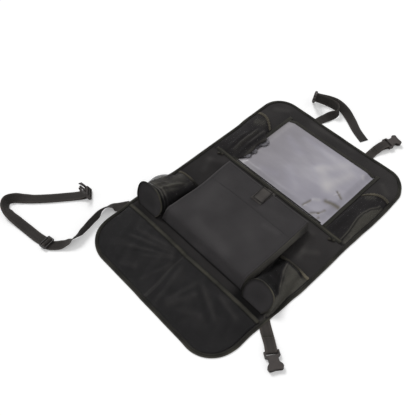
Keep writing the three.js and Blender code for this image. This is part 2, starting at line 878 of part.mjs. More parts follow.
function bottleSurface(side, lean) {
  const inner = side * (mainHalfWidth + bottleInnerGap);
  const outer = side * pocketEdgeX;
  const from = Math.min(inner, outer);
  const to = Math.max(inner, outer);
  const angles = baseArc(1);
  return (u, v) => {
    const angle = mix(angles[0], angles[1], u);
    const offset = bottleBaseThickness + 1.5 * clearance;
    const start = basePoint(side, lean, angle, bottleBaseRadius - clearance, offset);
    const dome = Math.sin(Math.PI * u) ** 0.6;
    const mouth = vec(mix(from, to, u), bottleMouthY, seatZ + bottleMouthRise * dome);
    const point = start.lerp(mouth, v);
    const ripple = bottleFold * Math.sin(4 * Math.PI * u + 3 * v) * Math.sin(Math.PI * v) * dome;
    const sag = bottleSag * Math.sin(Math.PI * v) * dome;
    const least = seatZ + clothThickness * (1 - ease(v, 0.7, 1));
    point.z = Math.max(point.z + ripple - sag * (1 - v), least);
    return point;
  };
}

function makeBottlePocket(name, side, lean) {
  const surface = bottleSurface(side, lean);
  const length = bottleMouthY - bottleBaseY;
  const band = strip(surface, 1 - elasticWidth / length, 1);
  addPiece(`${name}_pocket`, sheet(surface, 16, 10, clothThickness), 'mesh');
  addPiece(`${name}_base`, makeBottleBase(side, lean), 'cloth');
  addPiece(`${name}_elastic`, sheet(band, 16, 1, elasticThickness, clothThickness + clearance), 'tape');
}

makeBottlePocket('left_bottle', -1, leftBaseLean);
makeBottlePocket('right_bottle', 1, rightBaseLean);

// Lower pockets: one sheer cloth with a centre seam, and the tape along both mouths

// Folds that fan out from the seam, each from one place to another
const lowerFolds = [
  [-34, -192, -131, -218],
  [-26, -197, -133, -238],
  [-20, -204, -117, -259],
  [-12, -212, -70, -276],
  [97, -197, 160, -211],
  [58, -205, 134, -242],
  [51, -208, 32, -283],
  [70, -222, 36, -286],
];

function foldAt(x, y, [x0, y0, x1, y1]) {
  const length = Math.hypot(x1 - x0, y1 - y0);
  const dx = (x1 - x0) / length;
  const dy = (y1 - y0) / length;
  const along = ((x - x0) * dx + (y - y0) * dy) / length;
  const off = (y - y0) * dx - (x - x0) * dy;
  return Math.exp(-((off / lowerFoldWidth) ** 2)) * ease(along, -0.1, 0.2) * (1 - ease(along, 0.8, 1.1));
}

function lowerSurface(u, v) {
  const bottom = -panelHeight / 2 + bindingWidth + clearance + lowerBottomInset;
  const y = mix(bottom, lowerMouthY, v);
  const half = innerHalfWidth(y) - lowerBottomInset;
  const lobe = Math.abs(Math.sin(2 * Math.PI * u)) ** 0.5;
  const rise = lowerMouthRise * ease(v, 0.02, 0.6);
  const x = mix(-half, half, u);
  const folds = lowerFolds.reduce((sum, fold) => sum + foldAt(x, y, fold), 0);
  return vec(x, y, seatZ + lobe * (rise + lowerFoldHeight * folds * (1 - ease(v, 0.7, 0.88))));
}

const lowerLength = lowerMouthY + panelHeight / 2 - bindingWidth - clearance - lowerBottomInset;
const lowerBand = strip(lowerSurface, 1 - lowerTapeWidth / lowerLength, 1);

addPiece('lower_pocket_panel', sheet(lowerSurface, lowerStepsU, lowerStepsV, clothThickness), 'mesh');
addPiece(
  'lower_pocket_tape',
  sheet(lowerBand, lowerStepsU, 1, tapeThickness, clothThickness + clearance),
  'tape',
);

// Buckles: length along X from the strap end, width along Y, height about Z = 0

function mirrored(points) {
  return [...points, ...points.slice().reverse().map(([x, y]) => [x, -y])];
}

const slotHalfWidth = webbingWidth / 2 + 2 * clearance;

// The slot that the webbing passes through
function slotCutter(from) {
  return box(from, from + barSlot, -slotHalfWidth, slotHalfWidth, -buckleHeight, buckleHeight);
}

// Takes a bar down to its own height, so the webbing wraps it inside the frame
function barCutters(from, to) {
  const low = barHeight / 2;
  return [[-buckleHeight, -low], [low, buckleHeight]].map(
    ([z0, z1]) => box(from, to, -slotHalfWidth, slotHalfWidth, z0, z1),
  );
}

function makeFemaleBuckle() {
  const half = buckleWidth / 2;
  const waist = femaleWaistWidth / 2;
  const frameEnd = barDepth + barSlot + maleRail;
  const shape = outline(mirrored([
    [0, half],
    [frameEnd, half],
    [frameEnd + maleRail, waist],
    [frameEnd + maleRail + femaleWaistLength, waist],
    [femaleLength - 10.5, half - 0.6],
    [femaleLength - 6, half + 0.8],
    [femaleLength - 1, half - 1.4],
    [femaleLength, half - 4],
    [femaleLength - 1.2, 0.01],
  ]));
  const mouth = femaleLength + 1;
  const window = femaleLength - socketMouthDepth;
  const level = socketHeight / 2;
  const hollow = (from, to, width) => box(from, to, -width / 2, width / 2, -level, level);
  return cut(plate(shape, -buckleHeight / 2, buckleHeight / 2, buckleBevel), [
    slotCutter(barDepth),
    ...barCutters(-1, barDepth),
    hollow(femaleLength - socketDepth, mouth, socketWidth),
    hollow(window, mouth, socketMouthWidth),
    hollow(window - sideWindow, window + 1, 2 * buckleWidth),
  ]);
}

const maleBarFrom = maleRail + barSlot;

function makeMaleBuckle() {
  const half = buckleWidth / 2;
  const shoulder = maleBodyLength - 2;
  const tip = maleBodyLength + prongLength;
  const body = plate(outline(mirrored([
    [0, half - 1.5],
    [1.5, half],
    [maleBodyLength - 4, half],
    [maleBodyLength, half - 3.5],
  ])), -maleHeight / 2, maleHeight / 2, buckleBevel);
  const prong = (side) => outline([
    [shoulder, prongReach],
    [shoulder, prongReach + prongWidth],
    [tip - 14, prongReach + prongWidth + 0.6],
    [tip - 6, prongReach + prongWidth],
    [tip, prongReach - 2.2],
    [tip - 1.5, prongReach - 3.4],
    [tip - 6, prongReach - 2],
    [tip - 14, prongReach],
  ].map(([x, y]) => [x, side * y]));
  const spine = outline(mirrored([
    [shoulder, spineWidth / 2],
    [tip - 5, spineWidth / 2],
    [tip - 3, spineWidth / 4],
  ]));
  const level = prongThickness / 2;
  const whole = join([
    body,
    plate(prong(1), -level, level),
    plate(prong(-1), -level, level),
    plate(spine, -level, level),
  ]);
  return cut(whole, [
    slotCutter(maleRail),
    slotCutter(maleBarFrom + barDepth),
    ...barCutters(maleBarFrom, maleBarFrom + barDepth),
  ]);
}

function makeSlider() {
  const half = buckleWidth / 2;
  const end = sliderLength / 2;
  const corner = 2;
  const shape = outline(mirrored([
    [-end, half - corner],
    [-end + corner, half],
    [end - corner, half],
    [end, half - corner],
  ]));
  const block = plate(shape, -sliderHeight / 2, sliderHeight / 2, buckleBevel / 2);
  return cut(block, [slotCutter(-sliderBar / 2 - barSlot), slotCutter(sliderBar / 2)]);
}

// Sets a buckle's own point on a place, with its length and width along two directions
function placeBuckle(name, geometry, ownX, place, length, width) {
  const mesh = addPiece(name, geometry.translate(-ownX, 0, 0), 'buckle');
  const x = length.clone().normalize();
  const y = width.clone().addScaledVector(x, -width.dot(x)).normalize();
  const z = x.clone().cross(y);
  mesh.quaternion.setFromRotationMatrix(new THREE.Matrix4().makeBasis(x, y, z));
  mesh.position.copy(place);
}

function placeFemale(name, frames) {
  const end = frames[frames.length - 1];
  placeBuckle(name, makeFemaleBuckle(), barDepth / 2, end.point, end.tangent, end.side.clone().negate());
}

function placeMale(name, frames) {
  const end = frames[frames.length - 1];
  placeBuckle(name, makeMaleBuckle(), maleBarFrom + barDepth / 2, end.point, end.normal, end.side);
}

// Straps

function addStrap(name, geometry) {
  addPiece(name, cut(geometry, [insideRoots(0)]), 'webbing');
}

function tail(frames, share) {
  return turnedBack(frames.slice(Math.round(frames.length * (1 - share))));
}

function makeSewnStrap(name, frames) {
  const share = 0.4;
  addStrap(name, roundBar(frames, tail(frames, share), 1 - share, 0.3));
}

function makeUpperLeftStrap() {
  const geometry = ribbon([
    ...shifted(upperLeftFrames, (t) => loopRadius * ease(t, 0.75, 1)),
    ...halfTurn(upperLeftFrames[upperLeftFrames.length - 1]),
    ...shifted(upperLeftBandFrames, (t) => loopRadius * (1 - ease(t, 0, 0.2))),
  ]);
  addStrap('upper_left_strap', geometry);
}

function makeLowerLeftStrap() {
  const rows = lowerLeftRoute.length + sliderLine.length + lowerLeftLoopRoute.length - 1;
  const backFrom = (lowerLeftRoute.length + sliderLine.length - 1) / rows;
  const back = tail(lowerLeftFrames, 1 - backFrom);
  addStrap('lower_left_strap', roundBar(lowerLeftFrames, back, backFrom, 0.07));
}

makeUpperLeftStrap();
placeMale('upper_left_buckle', upperLeftFrames);
makeSewnStrap('upper_right_strap', upperRightFrames);
placeFemale('upper_right_buckle', upperRightFrames);
makeSewnStrap('lower_right_strap', lowerRightFrames);
placeFemale('lower_right_buckle', lowerRightFrames);
makeLowerLeftStrap();
placeBuckle('lower_left_slider', makeSlider(), 0, sliderCentre, sliderHeading, sliderAcross);
placeMale('lower_left_buckle', lowerLeftFrames);

export default organizer;
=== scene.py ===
"""Car seat back organizer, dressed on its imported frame: +X right, +Y headrest end, +Z front.

Shapes are in millimetres until a mesh is built.
"""

import math

import bmesh
import bpy
import numpy as np
from mathutils import Matrix, Vector


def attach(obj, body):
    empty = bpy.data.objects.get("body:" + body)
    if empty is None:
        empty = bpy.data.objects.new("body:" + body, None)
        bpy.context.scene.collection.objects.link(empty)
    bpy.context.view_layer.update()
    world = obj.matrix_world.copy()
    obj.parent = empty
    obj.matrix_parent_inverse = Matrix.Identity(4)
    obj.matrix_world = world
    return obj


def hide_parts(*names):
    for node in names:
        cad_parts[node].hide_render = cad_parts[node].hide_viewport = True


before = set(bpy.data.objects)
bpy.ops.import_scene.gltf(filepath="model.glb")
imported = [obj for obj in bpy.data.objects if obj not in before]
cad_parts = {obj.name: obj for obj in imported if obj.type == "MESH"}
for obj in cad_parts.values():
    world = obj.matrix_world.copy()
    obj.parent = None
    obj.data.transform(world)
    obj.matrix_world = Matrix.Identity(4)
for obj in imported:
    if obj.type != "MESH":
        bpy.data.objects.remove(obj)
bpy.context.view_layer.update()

MM = 0.001
HALF_WIDTH = 200.0
HALF_HEIGHT = 310.0
HEAD_RADIUS = 54.0
FOOT_RADIUS = 74.0
# Height at which the pockets are sewn to the panel
SEAT = 1.9
MESH_THICK = 0.45
BAND_LIFT = 0.95
FLOOR_Z = -0.15
FLOOR_GLOW = 0.22
AMBIENT = 0.55
UP = (0, 0, 1.0)


# Numbers and curves


def ease(x, a, b):
    t = np.clip((x - a) / (b - a), 0, 1)
    return t * t * (3 - 2 * t)


def mix(a, b, t):
    return a + (b - a) * t


def arch(t):
    """Half a wave: 0 at both ends and 1 in the middle."""
    return np.sin(math.pi * t)


def bell(off, width):
    """1 in the middle, fading to both sides."""
    return np.exp(-((off / width) ** 2))


def unit(v):
    return v / np.maximum(np.linalg.norm(v, axis=-1, keepdims=True), 1e-9)


def grid(nu, nv):
    """u across and v along, both from 0 to 1."""
    return np.meshgrid(np.linspace(0, 1, nu), np.linspace(0, 1, nv))


def stack(x, y, z):
    return np.stack(np.broadcast_arrays(x, y, z), axis=-1).astype(float)


def same(direction, count):
    return np.tile(np.array(direction, float), (count, 1))


def square_to(direction, tangent):
    """The part of a direction that is square to the tangent."""
    return unit(direction - tangent * np.sum(direction * tangent, axis=1, keepdims=True))


def running(path):
    """How far along a path each of its points is."""
    return np.concatenate([[0], np.cumsum(np.linalg.norm(np.diff(path, axis=0), axis=1))])


def ripple(x, y, seed, size):
    """Soft uneven waves, about -1 to 1, that are the same on each run."""
    r = np.random.default_rng(seed)
    total = np.zeros(np.broadcast(x, y).shape)
    for _ in range(6):
        angle = r.uniform(0, math.tau)
        length = size * r.uniform(0.6, 1.7)
        along = (np.cos(angle) * x + np.sin(angle) * y) / length
        total = total + np.sin(math.tau * along + r.uniform(0, math.tau))
    return total / 3.2


def ridge(x, y, start, end, width):
    """A fold along a line: 1 on the line, fading to its sides and its ends."""
    a = np.array(start, float)
    d = np.array(end, float) - a
    length = math.hypot(*d)
    d /= length
    t = ((x - a[0]) * d[0] + (y - a[1]) * d[1]) / length
    off = (x - a[0]) * -d[1] + (y - a[1]) * d[0]
    return bell(off, width) * ease(t, -0.08, 0.16) * (1 - ease(t, 0.84, 1.08))


def ridges(x, y, rows, widen=1.0):
    """Folds from rows of start, end, width and height, added up."""
    return sum(height * ridge(x, y, start, end, width * widen) for start, end, width, height in rows)


def curve(points, t):
    """Centripetal Catmull-Rom through the points, even in its rows as the part's own routes are."""
    p = np.array(points, float)
    p = np.vstack([2 * p[0] - p[1], p, 2 * p[-1] - p[-2]])
    n = len(points) - 1
    s = np.asarray(t) * n
    k = np.minimum(s.astype(int), n - 1)
    w = (s - k)[:, None]
    q = [p[k + j] for j in range(4)]
    d = [np.sqrt(np.linalg.norm(q[j + 1] - q[j], axis=1, keepdims=True)) for j in range(3)]
    m1 = ((q[1] - q[0]) / d[0] - (q[2] - q[0]) / (d[0] + d[1]) + (q[2] - q[1]) / d[1]) * d[1]
    m2 = ((q[2] - q[1]) / d[1] - (q[3] - q[1]) / (d[1] + d[2]) + (q[3] - q[2]) / d[2]) * d[1]
    start = (2 * w**3 - 3 * w**2 + 1) * q[1] + (w**3 - 2 * w**2 + w) * m1
    return start + (3 * w**2 - 2 * w**3) * q[2] + (w**3 - w**2) * m2


# Outline of the panel

CORNERS = [
    (1, 1, HEAD_RADIUS, 0),
    (-1, 1, HEAD_RADIUS, 90),
    (-1, -1, FOOT_RADIUS, 180),
    (1, -1, FOOT_RADIUS, 270),
]


def panel_edge(step=5.0):
    """Points on the panel's rim and the directions out of it, anticlockwise."""
    points, outward = [], []
    centres = [((sx * (HALF_WIDTH - r), sy * (HALF_HEIGHT - r)), r, start) for sx, sy, r, start in CORNERS]
    for i, (centre, r, start) in enumerate(centres):
        for angle in np.radians(np.linspace(start, start + 90, 25)):
            d = np.array([math.cos(angle), math.sin(angle)])
            points.append(np.array(centre) + r * d)
            outward.append(d)
        after, r2, _ = centres[(i + 1) % 4]
        begin = points[-1]
        to = np.array(after) + r2 * d
        n = int(np.linalg.norm(to - begin) / step)
        for k in range(1, n):
            points.append(mix(begin, to, k / n))
            outward.append(d)
    return np.array(points), np.array(outward)


EDGE, OUT = panel_edge()

# How far the soft edge lies outside its cut outline: a place on the edge, and the distance
EDGE_DRIFT = np.array([
    (192, 290, -2.8), (150, 310, -0.5), (60, 310, -1.2), (-40, 310, -0.3), (-110, 310, 2.4),
    (-155, 309, 2.4), (-187, 291, 3.6), (-200, 245, 1.8), (-200, 200, 1.2), (-200, 140, -1.6),
    (-200, 60, -1.6), (-200, -30, -1.9), (-200, -90, 0.0), (-200, -160, 1.0), (-200, -235, -1.2),
    (-183, -284, 1.0), (-120, -310, 1.2), (-50, -310, 1.3), (20, -310, 2.2), (90, -310, 2.7),
    (155, -305, 4.0), (183, -284, 1.0), (198, -255, -4.0), (200, -215, -5.0), (200, -170, -2.2),
    (200, -120, 0.4), (200, -60, 3.0), (200, 0, 3.2), (200, 60, 2.4), (200, 110, 3.6),
    (200, 160, 5.4), (200, 205, 5.4), (200, 240, 3.0),
])
DRIFT_REACH = 26


def edge_drift():
    """The drift at each point of the rim, blended from the places nearby."""
    pull = bell(np.linalg.norm(EDGE[:, None] - EDGE_DRIFT[None, :, :2], axis=-1), DRIFT_REACH)
    return (pull * EDGE_DRIFT[:, 2]).sum(axis=1) / np.maximum(pull.sum(axis=1), 1e-6)


EDGE_MOVE = edge_drift()
BATCH = 4000


def settle(points):
    """Moves points near the panel's rim with its soft edge; the middle and the straps' far ends stay."""
    moved = points.copy()
    for start in range(0, len(points), BATCH):
        p = points[start : start + BATCH, :2]
        gap = np.linalg.norm(p[:, None] - EDGE[None], axis=-1)
        near = gap.argmin(axis=1)
        distance = gap[np.arange(len(p)), near]
        outside = np.sum((p - EDGE[near]) * OUT[near], axis=1) > 0
        weight = np.where(outside, 1 - ease(distance, 2, 26), 1 - ease(distance, 8, 62))
        moved[start : start + BATCH, :2] += OUT[near] * (weight * EDGE_MOVE[near])[:, None]
    return moved


def half_width(y, inset=8.3):
    """Half of the width inside the binding at a height on the panel."""
    halves = []
    for sign, radius in ((-1, FOOT_RADIUS), (1, HEAD_RADIUS)):
        room = radius - inset
        past = np.clip(sign * y - (HALF_HEIGHT - radius), 0, room)
        halves.append(HALF_WIDTH - radius + np.sqrt(room**2 - past**2))
    return np.minimum(*halves)


# Meshes


def add_field(mesh, name, values):
    field = mesh.attributes.new(name, "FLOAT", "POINT")
    field.data.foreach_set("value", np.asarray(values, float).ravel())


def build(name, points, faces, uv=None, tone=None):
    mesh = bpy.data.meshes.new(name)
    places = settle(np.asarray(points, float)) * MM
    mesh.from_pydata(places.tolist(), [], [tuple(map(int, f)) for f in faces])
    mesh.update()
    if uv is not None:
        corners = np.empty(len(mesh.loops), int)
        mesh.loops.foreach_get("vertex_index", corners)
        layer = mesh.uv_layers.new(name="cloth")
        layer.data.foreach_set("uv", np.asarray(uv, float)[corners].ravel())
    if tone is not None:
        add_field(mesh, "tone", tone)
    mesh.shade_smooth()
    piece = bpy.data.objects.new(name, mesh)
    bpy.context.scene.collection.objects.link(piece)
    return piece


def slab(name, low, high, uv, tone):
    """A closed sheet between two grids of points."""
    nv, nu = low.shape[:2]
    at = np.arange(nv * nu).reshape(nv, nu)
    a, b, c, d = at[:-1, :-1], at[:-1, 1:], at[1:, 1:], at[1:, :-1]
    top = np.stack([a, b, c, d], -1).reshape(-1, 4) + nv * nu
    bottom = np.stack([a, d, c, b], -1).reshape(-1, 4)
    rim = np.concatenate([at[0, :], at[1:, -1], at[-1, -2::-1], at[-2:0:-1, 0]])
    after = np.roll(rim, -1)
    side = np.stack([rim, after, after + nv * nu, rim + nv * nu], -1)
    points = np.concatenate([low.reshape(-1, 3), high.reshape(-1, 3)])
    faces = np.concatenate([top, bottom, side])
    shade = np.tile(np.broadcast_to(tone, (nv, nu)).ravel(), 2)
    return build(name, points, faces, np.tile(uv.reshape(-1, 2), (2, 1)), shade)


def lengths(p, axis):
    """How far along the cloth each row or column of a grid is."""
    step = np.linalg.norm(np.diff(p, axis=axis), axis=-1)
    return np.concatenate([[0], np.cumsum(step.mean(axis=1 - axis))])


def shell(name, p, thick, tone):
    """A closed sheet from a grid of points, its thickness laid along the normal."""
    normal = unit(np.cross(np.gradient(p, axis=1), np.gradient(p, axis=0)))
    uv = np.stack(np.meshgrid(lengths(p, 1), lengths(p, 0)), axis=-1)
    return slab(name, p, p + normal * thick, uv, tone)


def rings(name, p, uv, closed=False, tone=None):
    """A body lofted through equal rings of points."""
    n, k = p.shape[:2]
    at = np.arange(n * k).reshape(n, k)
    after = np.roll(at, -1, axis=0) if closed else at[1:]
    here = at if closed else at[:-1]
    quads = np.stack([here, np.roll(here, -1, 1), np.roll(after, -1, 1), after], -1).reshape(-1, 4)
    faces = [tuple(q) for q in quads]
    if not closed:
        faces += [tuple(at[0, ::-1]), tuple(at[-1])]
    piece = build(name, p.reshape(-1, 3), faces, uv.reshape(-1, 2), tone)
    made = bmesh.new()
    made.from_mesh(piece.data)
    bmesh.ops.recalc_face_normals(made, faces=made.faces)
    made.to_mesh(piece.data)
    made.free()
    return piece


# One face of a ribbon: shares of its half width, and shares of its thickness
RIBBON_ACROSS = np.array([-1, -0.985, -0.93, -0.5, 0, 0.5, 0.93, 0.985])
RIBBON_HEIGHT = np.array([0, 0.34, 0.5, 0.47, 0.47, 0.47, 0.5, 0.34])


def ribbon(name, point, side, normal, width, thick, tone=None):
    """Flat webbing or tape with soft edges along rows of frames."""
    across = RIBBON_ACROSS * (width / 2)
    across = np.concatenate([across, -across])
    height = RIBBON_HEIGHT * thick
    height = np.concatenate([height, -height])
    p = point[:, None] + side[:, None] * across[:, None] + normal[:, None] * height[:, None]
    uv = np.stack(np.broadcast_arrays(across[None], running(point)[:, None]), -1)
    if tone is not None:
        tone = np.asarray(tone, float).reshape(len(point), -1)
        tone = np.broadcast_to(tone, p.shape[:2]).ravel()
    return rings(name, p, uv, tone=tone)


def evenly(path, gap):
    """Places along a path, a fixed distance apart, as (segment, share)."""
    run = running(path)
    step = np.diff(run)
    at = np.arange(gap / 2, run[-1], gap)
    k = np.clip(np.searchsorted(run, at) - 1, 0, len(step) - 1)
    return k, (at - run[k]) / np.maximum(step[k], 1e-9)


# One stitch: shares of its length, half width and height, and the faces between them
STITCH_POINTS = [
    (-0.5, 0, -0.2), (-0.36, 1, 0.2), (-0.36, 0, 1), (-0.36, -1, 0.2), (0.36, 1, 0.2),
    (0.36, 0, 1), (0.36, -1, 0.2), (0.5, 0, -0.2), (0, 0, -0.6),
]
STITCH_FACES = [
    (0, 2, 1), (0, 3, 2), (1, 2, 5, 4), (2, 3, 6, 5), (7, 4, 5), (7, 5, 6),
    (0, 1, 8), (1, 4, 8), (4, 7, 8), (7, 6, 8), (6, 3, 8), (3, 0, 8),
]
FINE_GAP = 3.4


def stitches(name, rows, gap=3.8, length=2.7, width=0.7, height=0.32):
    """Thread: each row is a path and the direction out of the cloth."""
    points, faces = [], []
    count = 0
    size = len(STITCH_POINTS)
    for path, out in rows:
        k, s = evenly(path, gap)
        c = mix(path[k], path[k + 1], s[:, None])
        t = unit(path[k + 1] - path[k])
        n = square_to(out[k], t)
        w = np.cross(n, t)
        body = [c + t * a * length + w * b * width / 2 + n * h * height for a, b, h in STITCH_POINTS]
        start = count + size * np.arange(len(c))[:, None]
        for face in STITCH_FACES:
            faces += [tuple(row) for row in start + np.array(face)]
        points.append(np.stack(body, 1).reshape(-1, 3))
        count += size * len(c)
    return build(name, np.concatenate(points), faces)


def dress(piece, mat, slot, *nodes):
    piece.data.materials.clear()
    piece.data.materials.append(mat)
    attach(piece, "root")
    if nodes:
        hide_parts(*nodes)


def sew(name, rows, mat, slot, **how):
    dress(stitches(name, rows, **how), mat, slot)


# Materials


class Nodes:
    """The node tree of a new material or world."""

    def __init__(self, owner, output="ShaderNodeOutputMaterial"):
        owner.use_nodes = True
        self.owner = owner
        self.tree = owner.node_tree
        self.tree.nodes.clear()
        self.out = self.add(output)

    def add(self, kind, inputs=None, **settings):
        node = self.tree.nodes.new(kind)
        for key, value in settings.items():
            setattr(node, key, value)
        for key, value in (inputs or {}).items():
            self.feed(node.inputs[key], value)
        return node

    def feed(self, socket, value):
        if isinstance(value, bpy.types.NodeSocket):
            self.tree.links.new(value, socket)
        else:
            socket.default_value = value

    def math(self, operation, *values):
        node = self.add("ShaderNodeMath", operation=operation)
        for i, value in enumerate(values):
            self.feed(node.inputs[i], value)
        return node.outputs[0]

    def blend(self, factor, first, second, kind="MIX"):
        """A mix of two colours."""
        node = self.add("ShaderNodeMix", data_type="RGBA", blend_type=kind)
        for i, value in ((0, factor), (6, first), (7, second)):
            self.feed(node.inputs[i], value)
        return node.outputs[2]

    def toned(self, base, light, dark):
        """The base colour, lighter where the tone field is above 0 and darker where it is below; the pieces
        lay painted light and shade into this field, along with colour that differs from place to place.
        """
        tone = self.field("tone")
        pale = self.blend(self.math("MAXIMUM", tone, 0.0), base, (*light, 1))
        below = self.math("MAXIMUM", self.math("MULTIPLY", tone, -1.0), 0.0)
        return self.blend(below, pale, (*dark, 1))

    def field(self, name):
        return self.add("ShaderNodeAttribute", attribute_name=name).outputs["Fac"]

    def place(self):
        return self.add("ShaderNodeTexCoord").outputs["Object"]

    def noise(self, vector, scale, detail=3.0):
        inputs = {"Vector": vector, "Scale": scale, "Detail": detail}
        return self.add("ShaderNodeTexNoise", inputs).outputs["Fac"]

    def ramp(self, value, stops):
        node = self.add("ShaderNodeValToRGB", {"Fac": value})
        elements = node.color_ramp.elements
        while len(elements) < len(stops):
            elements.new(0.5)
        for element, (place, color) in zip(elements, stops):
            element.position = place
            element.color = (*color, 1)
        return node.outputs["Color"]

    def bump(self, height, strength, distance, normal=None):
        inputs = {"Height": height, "Strength": strength, "Distance": distance}
        if normal is not None:
            inputs["Normal"] = normal
        return self.add("ShaderNodeBump", inputs).outputs["Normal"]

    def seen(self):
        """1 for rays that come from the camera, a gloss or a clear body."""
        rays = self.add("ShaderNodeLightPath").outputs
        first = self.math("MAXIMUM", rays["Is Camera Ray"], rays["Is Glossy Ray"])
        return self.math("MAXIMUM", first, rays["Is Transmission Ray"])

    def finish(self, shader):
        self.feed(self.out.inputs["Surface"], shader.outputs[0])
        return self.owner


def new_material(name):
    return Nodes(bpy.data.materials.new(name))


def lin(*rgb):
    return tuple(((c / 255 + 0.055) / 1.055) ** 2.4 if c > 10 else c / 255 / 12.92 for c in rgb)


def shades(color, dark, light):
    return [tuple(c * dark for c in color), color, tuple(min(c * light, 1) for c in color)]


def cloth(name, color, pitch, weave, rough, tint=None, spread=0.22, net=0.0, clear=0.0):
    """Woven or knitted cloth: pitch is one thread's size across and along, net the share of open holes."""
    n = new_material(name)
    uv = n.add("ShaderNodeUVMap", uv_map="cloth").outputs["UV"]
    split = n.add("ShaderNodeSeparateXYZ", {"Vector": uv}).outputs
    u, v = (n.math("SINE", n.math("MULTIPLY", split[i], math.pi / pitch[i])) for i in (0, 1))
    high_u, high_v = n.math("ABSOLUTE", u), n.math("ABSOLUTE", v)
    over = n.math("GREATER_THAN", n.math("MULTIPLY", u, v), 0.0)
    thread = n.add("ShaderNodeMix", {"Factor": over, "A": high_u, "B": high_v}).outputs[0]
    place = n.place()
    fuzz = n.noise(place, 900.0, 2.0)
    low, mid, high = shades(color, 1 - spread, 1 + spread)
    base = n.ramp(n.noise(place, 21.0), [(0.25, low), (0.5, mid), (0.75, high)])
    # Where the tone is high the colour goes to the tint and where it is low to a tenth of the colour: this is
    # how the pieces' painted highlights and painted shade are laid on.
    toned = n.toned(base, tint or high, tuple(c * 0.1 for c in color))
    relief = n.math("MULTIPLY_ADD", thread, 0.6, n.math("MULTIPLY", fuzz, 0.5))
    grain = n.ramp(relief, [(0.2, (0.45,) * 3), (0.8, (1.3,) * 3)])
    normal = n.bump(fuzz, 0.25, 0.0004, n.bump(thread, weave, 0.0003))
    inputs = {"Base Color": n.blend(0.45, toned, grain, "MULTIPLY"), "Normal": normal, "Roughness": rough}
    inputs |= {"Sheen Weight": 0.04, "Sheen Roughness": 0.5, "Specular IOR Level": 0.12}
    shader = n.add("ShaderNodeBsdfPrincipled", inputs)
    if net:
        hole = n.math("GREATER_THAN", n.math("MULTIPLY", high_u, high_v), 1 - net)
        woven = n.math("SUBTRACT", 1.0 - clear, n.math("MULTIPLY", hole, 0.9 - clear))
        left = n.math("SUBTRACT", 1.0, n.field("thin"))
        n.feed(shader.inputs["Alpha"], n.math("MULTIPLY", woven, left))
    return n.finish(shader)


def film_material():
    n = new_material("clear_film")
    place = n.place()
    settings = {"Vector": place, "Rotation": (0, 0, 0.5), "Scale": (1.0, 2.4, 1.0)}
    # Painted reflections: soft lighter streaks, drawn out on a slant, in the film's colour.
    reflection_streaks = n.noise(n.add("ShaderNodeMapping", settings).outputs[0], 7.0, 4.0)
    stops = [(0.3, (0.266, 0.254, 0.295)), (0.5, (0.315, 0.302, 0.346)), (0.72, (0.405, 0.39, 0.43))]
    # The tone's light colour paints the glints by the creases and its dark colour the shade in them.
    color = n.toned(n.ramp(reflection_streaks, stops), (0.74, 0.71, 0.66), (0.10, 0.085, 0.05))
    inputs = {"Base Color": color, "Specular IOR Level": 0.4, "Alpha": 0.97}
    inputs["Roughness"] = n.math("MULTIPLY_ADD", n.noise(place, 60.0), 0.14, 0.3)
    inputs["Normal"] = n.bump(n.noise(place, 16.0, 2.0), 0.12, 0.004)
    return n.finish(n.add("ShaderNodeBsdfPrincipled", inputs))


def plastic(name, color):
    n = new_material(name)
    place = n.place()
    low, mid, high = shades(color, 0.86, 1.16)
    base = n.ramp(n.noise(place, 90.0), [(0.3, low), (0.5, mid), (0.7, high)])
    inputs = {"Base Color": base, "Specular IOR Level": 0.28}
    inputs["Roughness"] = n.math("MULTIPLY_ADD", n.noise(place, 300.0), 0.16, 0.44)
    inputs["Normal"] = n.bump(n.noise(place, 2600.0, 2.0), 0.12, 0.0002)
    return n.finish(n.add("ShaderNodeBsdfPrincipled", inputs))


OXFORD = cloth("oxford_cloth", lin(56, 54, 55), (0.7, 0.7), 0.5, 0.82, lin(78, 76, 76), 0.12)
BACKING = cloth("panel_cloth", lin(47, 45, 45), (0.9, 0.9), 0.4, 0.88, lin(72, 70, 68), 0.14)
SHEER = cloth("sheer_mesh", lin(40, 38, 39), (1.1, 1.3), 0.35, 0.8, lin(84, 82, 76), 0.2, 0.42)
LOWER = cloth("lower_mesh", lin(32, 31, 32), (1.1, 1.3), 0.6, 0.6, lin(64, 62, 61), 0.14, 0.3)
VEIL = cloth("thin_mesh", lin(84, 82, 86), (1.0, 1.1), 0.6, 0.5, lin(168, 166, 174), 0.2, 0.62, 0.25)
TAPE = cloth("binding_tape", lin(47, 46, 42), (1.6, 0.8), 0.7, 0.75, lin(80, 77, 66), 0.2)
GUSSET = cloth("gusset_tape", lin(74, 72, 69), (1.2, 0.8), 0.6, 0.8, lin(94, 91, 84), 0.16)
ELASTIC = cloth("elastic_tape", lin(60, 57, 50), (1.1, 1.0), 0.8, 0.7, lin(104, 98, 84), 0.25)
WEBBING = cloth("webbing", lin(54, 51, 49), (2.2, 1.1), 0.9, 0.7, lin(82, 76, 72), 0.14)
HOOK = cloth("hook_tape", lin(68, 65, 63), (1.0, 1.0), 0.9, 0.95, lin(92, 88, 84), 0.16)
THREAD = cloth("thread", lin(72, 70, 60), (0.4, 0.4), 0.3, 0.7, spread=0.1)
DARK_THREAD = cloth("dark_thread", lin(42, 41, 41), (0.4, 0.4), 0.3, 0.7, spread=0.1)
BLACK_THREAD = cloth("black_thread", lin(20, 19, 19), (0.4, 0.4), 0.3, 0.8, spread=0.1)
PALE_THREAD = cloth("pale_thread", lin(84, 82, 80), (0.4, 0.4), 0.3, 0.7, spread=0.1)
FILM = film_material()
BUCKLE = plastic("buckle_plastic", lin(60, 55, 53))
SLIDER = plastic("slider_plastic", lin(38, 35, 34))


# Panel and the tape round it

